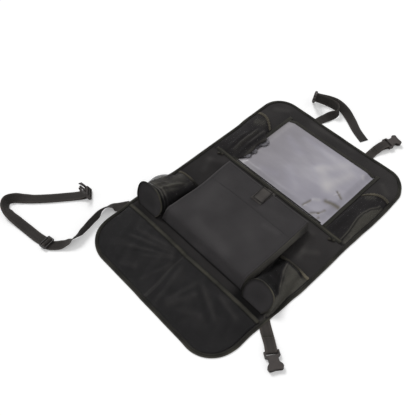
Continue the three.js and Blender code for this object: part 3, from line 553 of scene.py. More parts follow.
# Here and below, folds are rows of start, end, width and height
PANEL_FOLDS = [
    ((150, -30), (126, 52), 9, 1.5),
    ((170, 20), (140, -8), 10, 1.2),
    ((-178, 28), (-132, 52), 12, 1.3),
    ((-150, -8), (-170, 40), 10, 1.0),
    ((-90, 292), (60, 296), 9, 0.8),
    ((150, 262), (182, 238), 10, 1.0),
    ((-176, 262), (-140, 286), 10, 0.9),
]
PANEL_SHADOWS = [((-118, -150), (-118, 40), 9, -0.35), ((122, -165), (122, 20), 10, -0.3)]
PANEL_FRONT = 1.6


def panel_height(x, y):
    """The front of the panel's cloth, a little uneven where nothing is sewn on it."""
    z = 1.62 + 0.22 * ripple(x, y, 3, 90) + ridges(x, y, PANEL_FOLDS)
    flat = ease(np.abs(y - 70), 8, 20) * ease(np.abs(y + 183), 8, 20)
    return PANEL_FRONT + np.maximum(z - PANEL_FRONT, -0.15) * flat


def panel_tone(x, y):
    # Painted shade: the listed shadows, a patch left of the main pocket, and the strip between the main
    # pocket's foot and the lower tape, darkest at its right end; painted highlights along the panel's folds;
    # tone that differs at random.
    tone = ridges(x, y, PANEL_SHADOWS) + 0.16 * ripple(x, y, 8, 120)
    tone = tone - 0.35 * ease(y, -70, -40) * (1 - ease(y, 40, 60)) * (1 - ease(x, -140, -110))
    strip = ease(y, -186, -178) * (1 - ease(y, -160, -150)) * ease(190 - np.abs(x), 0, 8)
    tone = tone - strip * (0.25 + 0.9 * ease(x, 96, 132) + 0.3 * (1 - ease(x, -150, -110)))
    return tone + 0.35 * sum(ridge(x, y, start, end, width * 0.7) for start, end, width, _ in PANEL_FOLDS)


def make_panel():
    u, v = grid(84, 128)
    y = mix(-309.1, 309.1, v)
    x = mix(-1, 1, u) * half_width(y, 0.9)
    inside = np.minimum(ease(half_width(y, 8) - np.abs(x), 0, 14), ease(302 - np.abs(y), 0, 14))
    top = stack(x, y, mix(PANEL_FRONT, panel_height(x, y), inside))
    bottom = stack(x, y, 0.05 + 0.85 * (1 - inside))
    piece = slab("panel", bottom, top, top[..., :2], panel_tone(x, y))
    dress(piece, BACKING, "backing", "back_panel")


# Section of the binding, once round: how far in from the edge, and the height
BINDING_SECTION = np.array([
    (8, 2.5), (4, 2.56), (1.3, 2.5), (0.4, 2.2), (0, 1.6), (0, 0.9), (0.4, 0.3), (1.3, 0), (4, 0),
    (8, 0), (8, 0.55), (4, 0.6), (1.2, 0.6), (0.6, 1.0), (0.6, 1.5), (1.2, 1.92), (4, 1.95), (8, 1.92),
])


def edge_row(inset, z):
    """The panel's rim moved inwards, at a height."""
    p = EDGE - OUT * np.broadcast_to(inset, len(EDGE))[:, None]
    return stack(p[:, 0], p[:, 1], z)


def make_binding():
    run = running(EDGE)
    wobble = 0.35 * np.sin(run / 17.3) + 0.25 * np.sin(run / 6.1)
    rows = []
    for inset, z in BINDING_SECTION:
        swell = 0.12 * np.sin(run / 4.7) if z > 2.4 else 0
        rows.append(edge_row(inset + (wobble if inset > 7 else 0), z + swell))
    uv = np.stack(np.broadcast_arrays(running(BINDING_SECTION)[None], run[:, None]), -1)
    # Lighter on the rounded outer edge and darker on the flat faces, changing slowly along the tape.
    across_tone = np.where(BINDING_SECTION[:, 0] > 3, -0.5, 0.35)
    tone = 0.3 * (np.sin(run / 31.0) * np.sin(run / 9.7))[:, None] + across_tone[None]
    piece = rings("binding", np.stack(rows, 1), uv, closed=True, tone=tone.ravel())
    dress(piece, TAPE, "tape", "edge_binding")
    up = same(UP, len(EDGE))
    rows = [(edge_row(6.3, 2.56), up), (edge_row(6.3, -0.02), -up)]
    sew("binding_stitches", rows, THREAD, "tape", gap=4.2)


# Tablet window

LEFT, RIGHT, LOW, TOP = -120.0, 130.0, 74.5, 257.5
TAPE_TOP = 75.5
FILM_THICK = 0.5
SHARP_CREASES = [
    ((96, 168), (119, 156), 2.2, -1.3),
    ((102, 155), (108, 169), 1.7, 0.9),
    ((92, 126), (131, 138), 4.2, -1.5),
    ((98, 134), (126, 147), 3.0, 1.0),
    ((68, 82), (74, 109), 2.2, -1.2),
    ((74, 111), (92, 125), 4.5, 0.8),
    ((91, 79), (109, 93), 2.2, -1.1),
    ((106, 88), (113, 110), 2.2, -1.0),
    ((112, 79), (115, 86), 2.0, -0.9),
    ((112, 250), (121, 238), 3.5, 0.6),
]
SOFT_CREASES = [
    ((-70, 92), (-20, 110), 9, 0.4),
    ((-60, 240), (40, 236), 8, 0.5),
    ((-90, 215), (-20, 190), 10, 0.5),
    ((20, 200), (90, 150), 14, 0.6),
    ((75, 250), (20, 175), 12, 0.5),
    ((95, 235), (70, 150), 12, 0.6),
    ((-30, 150), (40, 100), 12, 0.4),
]


def film_height(x, y):
    sides = ease(x, LEFT, LEFT + 20) * (1 - ease(x, RIGHT - 20, RIGHT)) * ease(y, TAPE_TOP, TAPE_TOP + 17)
    wave = 0.55 * ripple(x, y, 21, 110) + 0.2 * ripple(x, y, 22, 42)
    wave = wave + ridges(x, y, SHARP_CREASES + SOFT_CREASES)
    return SEAT + sides * (5.4 + wave * (1 - ease(y, TOP - 12, TOP)))


def make_film():
    u, v = grid(150, 112)
    x = mix(LEFT - 7, RIGHT + 7, u)
    y = mix(LOW - 7, TOP + 5, v)
    # Darker towards the left, with painted shade on the left slope; painted shade in the creases that fold
    # in, a painted highlight just beside each crease, and painted reflections along the soft creases.
    tone = -0.12 * (1 - ease(x, LEFT, LEFT + 24)) - 0.26 * (1 - ease(x, -110, 90))
    for start, end, width, height in SHARP_CREASES:
        tone = tone + 0.62 * min(height, 0) * ridge(x, y, start, end, width * 1.4)
        tone = tone + 0.16 * ridge(x + 2.8, y + 3.2, start, end, width)
    tone = tone + 0.28 * ridges(x, y, SOFT_CREASES)
    film = shell("film", stack(x, y, film_height(x, y)), FILM_THICK, tone)
    dress(film, FILM, "film", "window_film")


def side_tape(word, x):
    """The tape on one side of the window, and the rows of its threads."""
    y = mix(TAPE_TOP + 0.3, TOP + 14, np.linspace(0, 1, 60))
    point = stack(x + 0.2 * np.sin(y / 13), y, 3.05)
    up = same(UP, 60)
    tone = 0.15 * np.sin(y / 19) - 0.1
    tape = ribbon(f"window_{word}_tape", point, same((1, 0, 0), 60), up, 8.6, 0.7, tone)
    dress(tape, TAPE, "tape", f"window_tape_{word}")
    return [(point + [d, 0, 0.36], up) for d in (-3.2, 3.2)]


def top_tape():
    """The tape that follows the film's open top edge, and the rows of its threads."""
    x = mix(LEFT + 0.3, RIGHT - 0.3, np.linspace(0, 1, 110))
    point = stack(x, TOP + 4, film_height(x, TOP) + FILM_THICK + 0.6)
    slope = unit(stack(np.gradient(x), 0, np.gradient(point[:, 2])))
    across = same((0, 1, 0), len(x))
    out = np.cross(slope, across)
    out = out * np.sign(out[:, 2:3])
    dress(ribbon("window_top_tape", point, across, out, 8, 0.7), TAPE, "tape", "window_tape_top")
    return [(point + out * 0.36 + [0, d, 0], out) for d in (-3, 3)]


def make_window():
    make_film()
    threads = side_tape("left", LEFT - 5) + side_tape("right", RIGHT + 5) + top_tape()
    sew("window_stitches", threads, THREAD, "tape")


def make_cross_tape():
    x = np.linspace(-183, 183, 140)
    point = stack(x, 70.5 + 0.25 * np.sin(x / 15), 3.1 + 0.12 * np.sin(x / 9))
    side = same((0, -1, 0), len(x))
    up = same(UP, len(x))
    # Dark along the film-side edge and in a line nearer the pocket side, lighter between them.
    across_tone = np.array([-0.8, -0.8, -0.7, 0.3, 0.3, -0.7, -0.1, -0.2])
    tone = 0.15 * np.sin(x / 21)[:, None] + np.tile(across_tone, 2)
    dress(ribbon("cross_tape", point, side, up, 9.8, 0.8, tone), TAPE, "tape", "upper_cross_tape")
    rows = [(point + [0, d, 0.42], up) for d in (-3.4, 3.4)]
    sew("cross_tape_stitches", rows, THREAD, "tape")
    hem = stack(x[18:-22], 77.6, 3.2)
    count = len(hem)
    roll = ribbon("film_hem", hem, side[:count], up[:count], 2.6, 1.0, np.full(count, -0.2))
    dress(roll, TAPE, "tape")
    make_knot("knot_left", -163, 61.5)
    make_knot("knot_right", 166, 60.5)


def make_knot(name, x0, y0, turn=0.45):
    """The folded end of an elastic, sewn down in a small lump."""
    s = np.linspace(0, 1, 26)
    across = mix(-6.5, 6.5, s)
    d = np.array([math.cos(turn), math.sin(turn)])
    z = SEAT + 0.6 + 3.0 * arch(s) ** 0.6 + 0.7 * np.sin(s * 15)
    point = stack(x0 + across * d[0], y0 + across * d[1], z)
    side = same((-d[1], d[0], 0), 26)
    out = -np.cross(unit(np.gradient(point, axis=0)), side)
    dress(ribbon(name, point, side, out, 5, 1.4, 0.35 * np.sin(s * 9) - 0.55), ELASTIC, "tape")


# Sheer pockets beside the window

UPPER_LEFT_FOLDS = [
    ((-146, 76), (-147, 176), 4.5, 2.6),
    ((-162, 72), (-160, 152), 5, 2.2),
    ((-128, 118), (-134, 190), 4, 2.4),
    ((-137, 90), (-139, 190), 5, -2.0),
    ((-154, 90), (-153, 180), 4, -1.6),
]
# Painted highlights along the raised folds; lighter near the mouth, darker by the cross tape and along the
# inner edge. Rows of start, end, width and tone.
UPPER_LEFT_TONES = [
    ((-146, 76), (-147, 176), 5, 0.35),
    ((-128, 118), (-134, 190), 5, 0.3),
    ((-176, 190), (-150, 206), 12, 0.45),
    ((-170, 70), (-140, 80), 12, -0.5),
    ((-128, 78), (-124, 178), 4, -0.5),
]
UPPER_RIGHT_FOLDS = [
    ((181, 72), (174, 150), 5, 2.2),
    ((173, 140), (186, 212), 5, 2.2),
    ((160, 80), (158, 190), 9, -2.6),
    ((146, 90), (146, 200), 3, 1.4),
]
# Painted shade in the hollow beside the crease; darker by the outer foot and lighter near the mouth. Rows of
# start, end, width and tone.
UPPER_RIGHT_TONES = [
    ((183, 74), (185, 96), 4, -0.5),
    ((150, 196), (166, 212), 7, 0.45),
    ((154, 74), (158, 150), 10, -0.25),
]
# Where the crease runs: places up the pocket, and how far right it is there
UPPER_RIGHT_CREASE = ([79.3, 105.3, 137.2, 155.8, 177.6, 193.9], [177.7, 176.3, 170.8, 170.3, 174.4, 182.6])


def upper_left_cloth(x, y, u):
    """Slack mesh that bulges over the film's edge."""
    over = ease(y, 64, 92) * (1 - ease(y, 160, 196)) * arch(np.clip(u, 0, 1) ** 2.2) ** 0.9
    x = x + (33 + 3 * np.sin(y / 8.5 + 1)) * over
    fold = ridges(x, y, UPPER_LEFT_FOLDS) + 5.5 * over
    tone = ridges(x, y, UPPER_LEFT_TONES) + 0.4 * ease(x, -121, -114) * ease(y, 84, 100)
    return x, fold, tone


def upper_right_cloth(x, y, _):
    """A crease up the pocket, with painted light along it and on the facet to its right."""
    off = x - np.interp(y, *UPPER_RIGHT_CREASE)
    taut = ease(y, 68, 78) * (1 - ease(y, 196, 206))
    fold = ridges(x, y, UPPER_RIGHT_FOLDS) + 1.6 * bell(off, 3) * taut
    tone = (0.75 * bell(off, 1.4) + 1.15 * ease(off, 1.5, 6)) * taut + ridges(x, y, UPPER_RIGHT_TONES)
    return x, fold, tone


def upper_points(side, u, v, lift=0.0):
    """u from the outer edge to the inner one, v from the cross tape to the mouth."""
    inner = LEFT - 12 if side < 0 else RIGHT + 12
    y = mix(65.8, mix(228, 204, u) + 7 * arch(u), v)
    slack = upper_left_cloth if side < 0 else upper_right_cloth
    x, fold, tone = slack(mix(side * 190.0, inner, u), y, u)
    dome = arch(u) ** 0.7
    rise = mix(11.0, 8.5, v) * ease(v, 0.06, 0.4)
    gather = 0.5 * np.sin(u * 62 + 2 * np.sin(v * 5)) * ease(v, 0.7, 1.0) * dome
    z = SEAT + dome * rise + fold * dome**0.5 * (0.35 + 0.65 * ease(v, 0.0, 0.3)) + gather
    z = z + 0.5 * ripple(x, y, 31 + side, 34) * dome
    return stack(x, y, np.maximum(z, SEAT + 0.15) + lift), tone


def make_upper_pocket(word, side):
    turn = slice(None, None, -1 if side > 0 else 1)
    u, v = grid(70, 90)
    p, tone = upper_points(side, u, v)
    pocket = shell(f"upper_{word}_mesh", p[:, turn], MESH_THICK, tone[:, turn])
    dress(pocket, SHEER, "mesh", f"upper_{word}_pocket")
    u, v = grid(90, 5)
    band, _ = upper_points(side, u, mix(0.955, 1.0, v), BAND_LIFT)
    band[..., 2] += 0.7 * np.sin(u * 118) * arch(u) ** 0.4
    band[..., 1] += 0.5 * np.sin(u * 59 + 1)
    # Painted light on the crests of the gathers and painted shade between them; the right pocket's band also
    # has a painted highlight along part of it.
    shade = 0.25 + 0.3 * np.sin(u * 118)
    if side > 0:
        shade = shade + 0.5 * ease(u, 0.1, 0.3) * (1 - ease(u, 0.3, 0.55))
    elastic = shell(f"upper_{word}_band", band[:, turn], 0.9, shade)
    dress(elastic, ELASTIC, "tape", f"upper_{word}_elastic")


# Lobes of the frill: the middle, half of the height and the reach
FRILL_LOBES = [(157, 13, 12), (120, 7.5, 10), (101, 8, 9)]


def make_ruffle():
    """Loose mesh that frills out of the left pocket over the film, in three lobes."""
    u, v = grid(14, 110)
    y = mix(88, 174, v)
    reach = 1.2
    for at, half, far in FRILL_LOBES:
        reach = reach + far * np.clip(1 - ((y - at) / half) ** 2, 0, 1) ** 0.55
    z = 10.6 + 0.8 * np.sin(v * 47) * u - 1.6 * u * u
    tone = 0.5 * arch(u) - 0.9 * ease(u, 0.8, 1.0) - 0.5 * (1 - ease(u, 0, 0.2))
    piece = shell("upper_left_frill", stack(-112.5 + reach * u, y, z), 0.4, tone)
    dress(piece, VEIL, "mesh")


# Main pocket

MAIN_DEPTH = 28
MAIN_FOOT = -158.0
MAIN_CORNER = -143.0
MAIN_MOUTH = 44.0
MAIN_BEND = 9
MAIN_THICK = 0.6
MAIN_FOLDS = [
    ((-88, -16), (-6, -12), 1.5, -0.35),
    ((-6, -12), (106, -14), 1.6, -0.4),
    ((50, -30), (96, -22), 7, 0.9),
    ((-60, -118), (60, -132), 12, 0.8),
    ((10, -2), (80, 14), 9, 0.3),
    ((-95, 10), (-70, -110), 14, 0.4),
    ((20, -60), (90, -90), 16, 0.35),
]


def main_profile():
    """Down the pocket's front and its bottom wall: even places along the cloth, as y and z."""
    foot = np.array([MAIN_FOOT, SEAT])
    corner = np.array([MAIN_CORNER, SEAT + MAIN_DEPTH])
    start = corner - MAIN_BEND * unit(corner - foot)
    end = corner + [MAIN_BEND, 0]
    s = np.linspace(0, 1, 30)[:, None]
    bend = (1 - s) ** 2 * start + 2 * s * (1 - s) * corner + s * s * end
    wall = mix(foot, start, np.linspace(0, 1, 20)[:-1, None])
    front = mix(end, np.array([MAIN_MOUTH, SEAT + MAIN_DEPTH]), np.linspace(0, 1, 80)[1:, None])
    line = np.concatenate([wall, bend, front])
    run = running(line)
    return line, run / run[-1], run[-1]


MAIN_LINE, MAIN_RUN, MAIN_LENGTH = main_profile()


def main_points(u, v):
    """u from the left edge to the right one, v from the foot to the mouth."""
    y = np.interp(v, MAIN_RUN, MAIN_LINE[:, 0])
    z = np.interp(v, MAIN_RUN, MAIN_LINE[:, 1])
    front = arch(np.clip((y - MAIN_CORNER) / (MAIN_MOUTH - MAIN_CORNER), 0, 1))
    half = 117.8 - 2.5 * (z - SEAT) / MAIN_DEPTH + 1.2 * front * (z > 20)
    x = mix(-1, 1, u) * half
    sag = 1.6 * arch(u) + 10 * front**2 * (1 - ease(u, 0, 0.3))
    sag = sag + 5 * (1 - ease(y, MAIN_CORNER, -90)) * (1 - ease(u, 0, 0.25))
    wave = 0.2 * np.sin(7 * u + 5 * v) * arch(u) + 0.2 * ripple(x, y, 41, 80) * arch(u) ** 0.5
    wave = wave + ridges(x, y, MAIN_FOLDS)
    push = 1.3 * ripple(x, z * 2, 43, 70) * arch(u) * ease(v, 0.0, 0.06) * (1 - ease(v, 0.1, 0.2))
    return stack(x, y - push, z + (wave - sag) * ease(v, 0.14, 0.3))


def main_threads():
    """Rows of stitches down the front's two sides, and along its hem and its mouth."""
    s = np.linspace(0, 1, 100)
    sides = []
    for at in (0.025, 0.975):
        q = main_points(np.full(100, at), mix(0.02, 0.995, s))
        out = unit(np.cross(same((1, 0, 0), 100), unit(np.gradient(q, axis=0))))
        sides.append((q + out * 0.62, out))
    hems = []
    for margin, below in ((0.02, 58), (0.01, 4)):
        q = main_points(mix(margin, 1 - margin, s), np.full(100, 1 - below / MAIN_LENGTH))
        hems.append((q + [0, 0, 0.62], same((0, -0.1, 1), 100)))
    return sides, hems


def make_main_pocket():
    u, v = grid(96, 110)
    p = main_points(u, v)
    x, y = p[..., 0], p[..., 1]
    # Painted light on the raised folds and painted shade in the creases, over tone that differs at random; a
    # painted shadow along the foot, and painted highlights down the left edge and along the mouth.
    tone = 0.06 * ripple(x, y, 44, 60) + 0.3 * ridges(x, y, MAIN_FOLDS)
    tone = tone - 1.2 * (1 - ease(v, 0.0, 0.018)) + 0.7 * (1 - ease(u, 0.0, 0.012)) + 0.25 * ease(v, 0.985, 1)
    front = shell("main_front", p, MAIN_THICK, tone)
    dress(front, OXFORD, "cloth", "main_pocket_front")
    # A near-black strip along the pocket's foot: painted shadow in the gap under the pocket's lower edge.
    line = stack(np.linspace(-116, 116, 60), -158.9, 2.5)
    foot = ribbon("main_foot", line, same((0, -1, 0), 60), same(UP, 60), 2.6, 0.7, np.full(60, -1.0))
    dress(foot, OXFORD, "cloth")
    sides, hems = main_threads()
    sew("main_edge_stitches", sides, DARK_THREAD, "cloth", gap=FINE_GAP)
    sew("main_hem_stitches", hems, DARK_THREAD, "cloth", gap=FINE_GAP)
    make_gusset("left", -1)
    make_gusset("right", 1)


def make_gusset(word, side):
    s = np.linspace(0, 1, 90)
    h = np.linspace(0, 1, 22)[:, None]
    top = main_points(np.full(90, 0.5 + 0.5 * side), mix(0.012, 0.995, s))
    x, y, z = top.T
    high = np.clip((z - SEAT) / MAIN_DEPTH, 0, 1)
    height = mix(SEAT, z, h)
    lens = arch(h) * arch(s) ** 0.8
    sag = lens * high * (2.6 if side > 0 else 3.0) + 0.7 * lens * ripple(y[None], height * 3, 51, 60)
    reach = mix(117.4, np.abs(x) - 0.6, h)
    p = stack(side * (reach + sag), y[None], height - 0.25 * h)
    if side > 0:
        p = p[:, ::-1]
    # Lighter overall and at the two stitched edges, changing along the wall, with painted shade at its lower
    # end by the pocket's foot.
    shade = 0.4 + 0.2 * np.sin(s * 9) + 0.45 * (np.abs(h - 0.5) > 0.4) - 0.9 * (1 - ease(y, -152, -132))
    wall = shell(f"main_gusset_{word}", p[::-1], 0.7, shade[::-1])
    dress(wall, GUSSET, "tape", f"main_pocket_gusset_{word}")
    threads = [(p[k] + [side * 0.75, 0, 0], same((side, 0, 0), 90)) for k in (2, 19)]
    sew(f"main_gusset_{word}_stitches", threads, THREAD, "tape", gap=FINE_GAP)


def main_top(x, y):
    """Height of the pocket's front cloth at a place."""
    v = 1 - (MAIN_MOUTH - np.minimum(y, MAIN_MOUTH)) / MAIN_LENGTH
    return main_points((np.asarray(x, float) + 117) / 234, v)[..., 2] + MAIN_THICK


def tab_route():
    """From the cross tape down to the panel, up behind the pocket's mouth and down over its front."""
    top = float(main_top(0.0, MAIN_MOUTH))
    rows = [(-2, 65.2, 2.5), (-2, 56.2, 3.7), (0, 48.5, 14), (0.4, 45.2, top - 2.9), (0.6, 45.2, top + 1.1)]
    rows += [(0.8, 44.7, top + 2.06), (1, 43.7, top + 2.3)]
    rows += [(x, y, float(main_top(x, y)) + 2.05) for x, y in ((1.4, 38), (2, 30), (2.8, 19), (4, 8))]
    return curve(rows, np.linspace(0, 1, 101))


def make_closure():
    u, v = grid(24, 30)
    x = mix(-14.5, 14.5, u) + 2
    y = mix(3.7, 43.7, v)
    patch = shell("loop_patch", stack(x, y, main_top(x, y) + 0.25), 0.85, 0.1 * ripple(x, y, 61, 9))
    dress(patch, HOOK, "hook", "closure_loop_patch")
    path = tab_route()
    tangent = unit(np.gradient(path, axis=0))
    side = square_to(same((1, 0.02, 0), len(path)), tangent)
    out = np.cross(side, tangent)
    out = out * np.where(out[:, 2:3] < -0.2, -1, 1)
    # Darkest at both edges and lighter across the middle, changing slowly along the tab.
    across_tone = np.array([-1.0, -1.0, -0.3, 0.25, 0.3, 0.25, -0.3, -1.0])
    shade = 0.12 * np.sin(np.arange(len(path)) / 5.0)[:, None] + np.tile(across_tone, 2)
    dress(ribbon("tab", path, side, out, 25, 1.2, shade), HOOK, "hook", "closure_tab")
    flat = path[62:-2]
    border = [(flat + [d, 0, 0.55], same(UP, len(flat))) for d in (-12.3, 12.3)]
    for k in (63, 99):
        line = path[k] + np.linspace(-1, 1, 14)[:, None] * [12.3, 0.25, 0] + [0, 0, 0.6]
        border.append((line, same(UP, 14)))
    sew("tab_stitches", border, BLACK_THREAD, "hook", gap=2.2, length=2.6, width=1.2)
    lower = []
    for below in (0.0, 3.0, 6.0):
        x = np.linspace(-11, 17, 20)
        y = 1.6 - below - 0.06 * x
        lower.append((stack(x, y, main_top(x, y) + 0.05), same(UP, 20)))
    sew("patch_stitches", lower, DARK_THREAD, "cloth", gap=3.0, length=2.2)


# Bottle pockets

BOTTLE_INNER, BOTTLE_OUTER = 120.4, 190.0
BASE_RADIUS = 33
BASE_CENTRE = 22
BASE_FOOT = -166
BASE_START = -math.asin(BASE_CENTRE / BASE_RADIUS)
# How far the bases lean from upright, in degrees
LEFT_LEAN, RIGHT_LEAN = 27, 42
# The slack rims of the round bases: the radius at angles from the outer foot to the inner one
LEFT_RIM = (
    [-0.73, -0.4, -0.12, 0.15, 0.38, 0.63, 0.83, 1.11, 1.39, 1.66, 1.99, 2.4, 2.86, 3.13, 3.87],
    [33, 36, 39.5, 42.5, 45.5, 47.4, 44.3, 39, 36.3, 35.4, 33, 31.8, 33.5, 34, 33],
)
RIGHT_RIM = (
    [-0.73, -0.31, 0.28, 0.84, 1.22, 1.63, 2.06, 2.39, 2.64, 3.02, 3.87],
    [33, 33.6, 34, 34.4, 32.4, 30.6, 31.7, 33.6, 34.4, 33.4, 33],
)
DISC_SHARES = (0.999, 0.96, 0.8, 0.6, 0.4, 0.2, 0.03)
DISC_TONES = (-0.4, -0.35, -0.3, -0.2, -0.15, -0.3, -0.7) + (0.0,) * 7
DISC_THICK = 1.1


def base_point(side, lean, angle, radius, offset):
    """A place on a round base, or behind it by an offset; the angle goes round from the left."""
    centre = side * (BOTTLE_INNER + BOTTLE_OUTER) / 2
    radius = radius / BASE_RADIUS * np.interp(angle, *(RIGHT_RIM if side > 0 else LEFT_RIM))
    tilt = math.radians(lean)
    slant = BASE_CENTRE + radius * np.sin(angle)
    x = centre - radius * np.cos(angle)
    y = BASE_FOOT + slant * math.sin(tilt) + offset * math.cos(tilt)
    z = SEAT + slant * math.cos(tilt) - offset * math.sin(tilt)
    return stack(x, y, z)


def make_bottle_base(word, side, lean):
    angle = mix(BASE_START, math.pi - BASE_START, np.linspace(0, 1, 60))
    tilt = math.radians(lean)
    away = np.array([0, -math.cos(tilt), math.sin(tilt)])
    lift = np.array([0, 0, 1.2 * math.sin(tilt)])
    rim = base_point(side, lean, angle, BASE_RADIUS, 0)
    bottom = mix(rim[-1], rim[0], np.linspace(0, 1, 20)[1:-1, None])
    loop = np.concatenate([rim, bottom])
    centre = base_point(side, lean, 0.0, 0, 0)
    rows = []
    for share in DISC_SHARES:
        ring = mix(centre, loop, share)
        dent = 1.6 * (1 - share**2) + 0.5 * ripple(ring[:, 0], ring[:, 2], 71, 30) * (1 - share)
        rows.append(ring - away * dent[:, None])
    front = np.array(rows)
    back = front - away * DISC_THICK
    p = np.concatenate([front[::-1], back]) + lift
    uv = np.stack([p[..., 0], p[..., 2] * 1.3], -1)
    disc = rings(f"{word}_base_disc", p, uv, tone=np.repeat(DISC_TONES, len(loop)))
    dress(disc, OXFORD, "cloth", f"{word}_base")
    path = rim + lift + away * 0.2
    face = same(away, len(path))
    if side > 0:
        lit = ease(angle, 0.5, 1.0) * 0.45 + ease(angle, 1.6, 2.0) * 0.7 * (1 - ease(angle, 2.6, 2.9))
    else:
        lit = 0.8 * ease(angle, 1.3, 1.8)
    tone = -0.5 + 1.3 * lit + 0.15 * np.sin(angle * 9)
    out = np.cross(unit(np.gradient(path, axis=0)), face)
    bound = ribbon(f"{word}_base_rim", path + unit(rim - centre) * 0.1, face, out, 3.4, 1.3, tone)
    dress(bound, TAPE, "tape")


# Where the crease runs: places up the pocket, and how far right it is there
RIGHT_CREASE = ([-150, -143.5, -122.3, -106.9, -76.9, -54, -40], [189, 187.5, 182.3, 170.9, 153.6, 145, 141])


def right_bottle_cloth(x, y, v):
    """A sharp crease from the elastic down to the foot, slack to its left and taut to its right. Its tone
    paints light along the crease, on the taut facet, on the outer wall and on the crumples near the base, and
    shade to the crease's left and by the inner edge; it is also darker near the mouth.
    """
    off = x - np.interp(y, *RIGHT_CREASE)
    fold = 3.4 * bell(off, 4) * ease(y, -150, -128) - 4.5 * ease(-off, 2, 14) * (1 - ease(-off, 26, 44))
    crumple = 2.6 * ripple(x, y, 81, 12) * ease(x, 150, 166) * (1 - ease(y, -146, -132))
    tone = 0.8 * bell(off, 1.7) + 0.85 * ease(off, 1, 5) + 0.9 * ease(x, 176, 188) - 0.78 * ease(-off, 1.5, 6)
    tone = tone + 0.7 * np.maximum(crumple, 0) * (1 - ease(v, 0.3, 0.5))
    tone = tone - 0.9 * (1 - ease(x, 122, 132)) - 0.8 * ease(v, 0.86, 0.9)
    return fold, crumple, tone


# Bands of light and dark above the left base: the share of the way up, the width and the tone
LEFT_FOOT_TONES = [(0.075, 0.018, 1.0), (0.035, 0.016, -0.8), (0.16, 0.02, 0.6), (0.115, 0.018, -0.5)]


def left_bottle_cloth(x, y, v):
    """Folds that run up from the bound rim, and crumples near the base."""
    fold = 2.0 * ridge(x, y, (-158.5, -124), (-146, -68), 3.5)
    # Painted highlights along the big fold and the four small ones.
    tone = 0.75 * ridge(x, y, (-158.5, -124), (-146, -68), 2.4)
    for k in range(4):
        foot, head = (-176 + 9 * k, -136), (-166 + 9 * k, -96 + 3 * k)
        fold = fold + 1.1 * ridge(x, y, foot, head, 2.8)
        tone = tone + 0.2 * ridge(x, y, foot, head, 2.2)
    crumple = 1.1 * ripple(x, y, 83, 18) * (1 - ease(v, 0.1, 0.6))
    for at, width, amount in LEFT_FOOT_TONES:
        tone = tone + amount * bell(v - at, width)
    # A little lighter overall, with painted shadow toward the main pocket.
    return fold, crumple, tone + 0.3 - 1.15 * ease(x, -143, -128)


def left_swell(p, u, v):
    """Mesh that stands out over the panel's edge, and a dip beside it."""
    out = arch(np.clip((v - 0.1) / 0.72, 0, 1)) * bell(u - 0.16, 0.12)
    dip = bell(v - 0.13, 0.07) * bell(u - 0.36, 0.16)
    p[..., 0] -= 9 * out
    p[..., 2] += 14 * out - 6 * dip


def right_tuck(p, u, v):
    """Draws mesh to the panel's edge and tucks it down beside its base; gives the tone that this adds."""
    p[..., 0] += (BOTTLE_OUTER - p[..., 0]) * ease(u, 0.86, 1) * ease(v, 0, 0.14)
    tuck = ease(u, 0.76, 0.98) * ease(v, 0.0, 0.08) * (1 - ease(v, 0.1, 0.5))
    p[..., 1] -= 14 * tuck
    p[..., 0] += 6 * tuck
    return tuck * (0.35 + 0.5 * ripple(p[..., 0], p[..., 1], 87, 7))


def bottle_points(side, lean, u, v, lift=0.0):
    """u from the smaller x to the larger, v from the round base to the mouth."""
    a, b = sorted((side * BOTTLE_INNER, side * BOTTLE_OUTER))
    angle = mix(BASE_START, math.pi - BASE_START, u)
    start = base_point(side, lean, angle, 32.7, 1.65)
    dome = arch(u) ** (0.6 + (0.6 * ease(u, 0.5, 0.85) if side > 0 else 0))
    mouth = stack(mix(a, b, u), -42, SEAT + (6 if side > 0 else 9) * dome)
    p = mix(start, mouth, v[..., None])
    wave = 1.4 * np.sin(4 * math.pi * u + 3 * v) * arch(v) * dome
    sag = 9 * arch(v) * dome * (1 - v)
    x, y = p[..., 0], p[..., 1]
    slack = right_bottle_cloth if side > 0 else left_bottle_cloth
    fold, crumple, tone = slack(x, y, v)
    tone = tone + 0.2 * ripple(x, y, 85, 22)
    if side < 0:
        left_swell(p, u, v)
    z = p[..., 2] + wave - sag * (1 - v) + (fold * arch(np.clip(v, 0, 1)) ** 0.4 + crumple) * dome
    if side > 0:
        tone = tone + right_tuck(p, u, v)
        z = SEAT + (z - SEAT) * (1 - 0.55 * ease(u, 0.68, 0.92) * ease(v, 0.02, 0.2))
    floor = SEAT + 0.6 * (1 - ease(v, 0.7, 1))
    p[..., 2] = np.maximum(z, floor) + lift
    return p, tone


def make_bottle_pocket(word, side, lean):
    u, v = grid(96, 80)
    p, tone = bottle_points(side, lean, u, v)
    pocket = shell(f"{word}_mesh", p, MESH_THICK, tone)
    if side < 0:
        thin = 0.62 * (1 - ease(u, 0.2, 0.34)) * ease(v, 0.06, 0.16) * (1 - ease(v, 0.78, 0.9))
        add_field(pocket.data, "thin", np.tile(thin.ravel(), 2))
    dress(pocket, SHEER, "mesh", f"{word}_pocket")
    make_bottle_base(word, side, lean)
    u, v = grid(110, 5)
    band, _ = bottle_points(side, lean, u, mix(0.945, 1.0, v), BAND_LIFT)
    band[..., 2] += 0.6 * np.sin(u * 150) * arch(u) ** 0.4
    band[..., 1] += 0.4 * np.sin(u * 75 + 1)
    # Painted light on the crests of the gathers and painted shade between them; the right band is darker
    # along its inner part and lighter toward the outer end, the left one has painted shadow toward its inner
    # end.
    shade = 0.1 + 0.25 * np.sin(u * 150)
    if side > 0:
        shade = shade - 0.6 + 1.5 * ease(u, 0.5, 0.95)
    else:
        shade = shade - 1.2 * ease(u, 0.55, 0.78)
    elastic = shell(f"{word}_band", band, 0.9, shade)
    dress(elastic, ELASTIC, "tape", f"{word}_elastic")


# Lower pockets

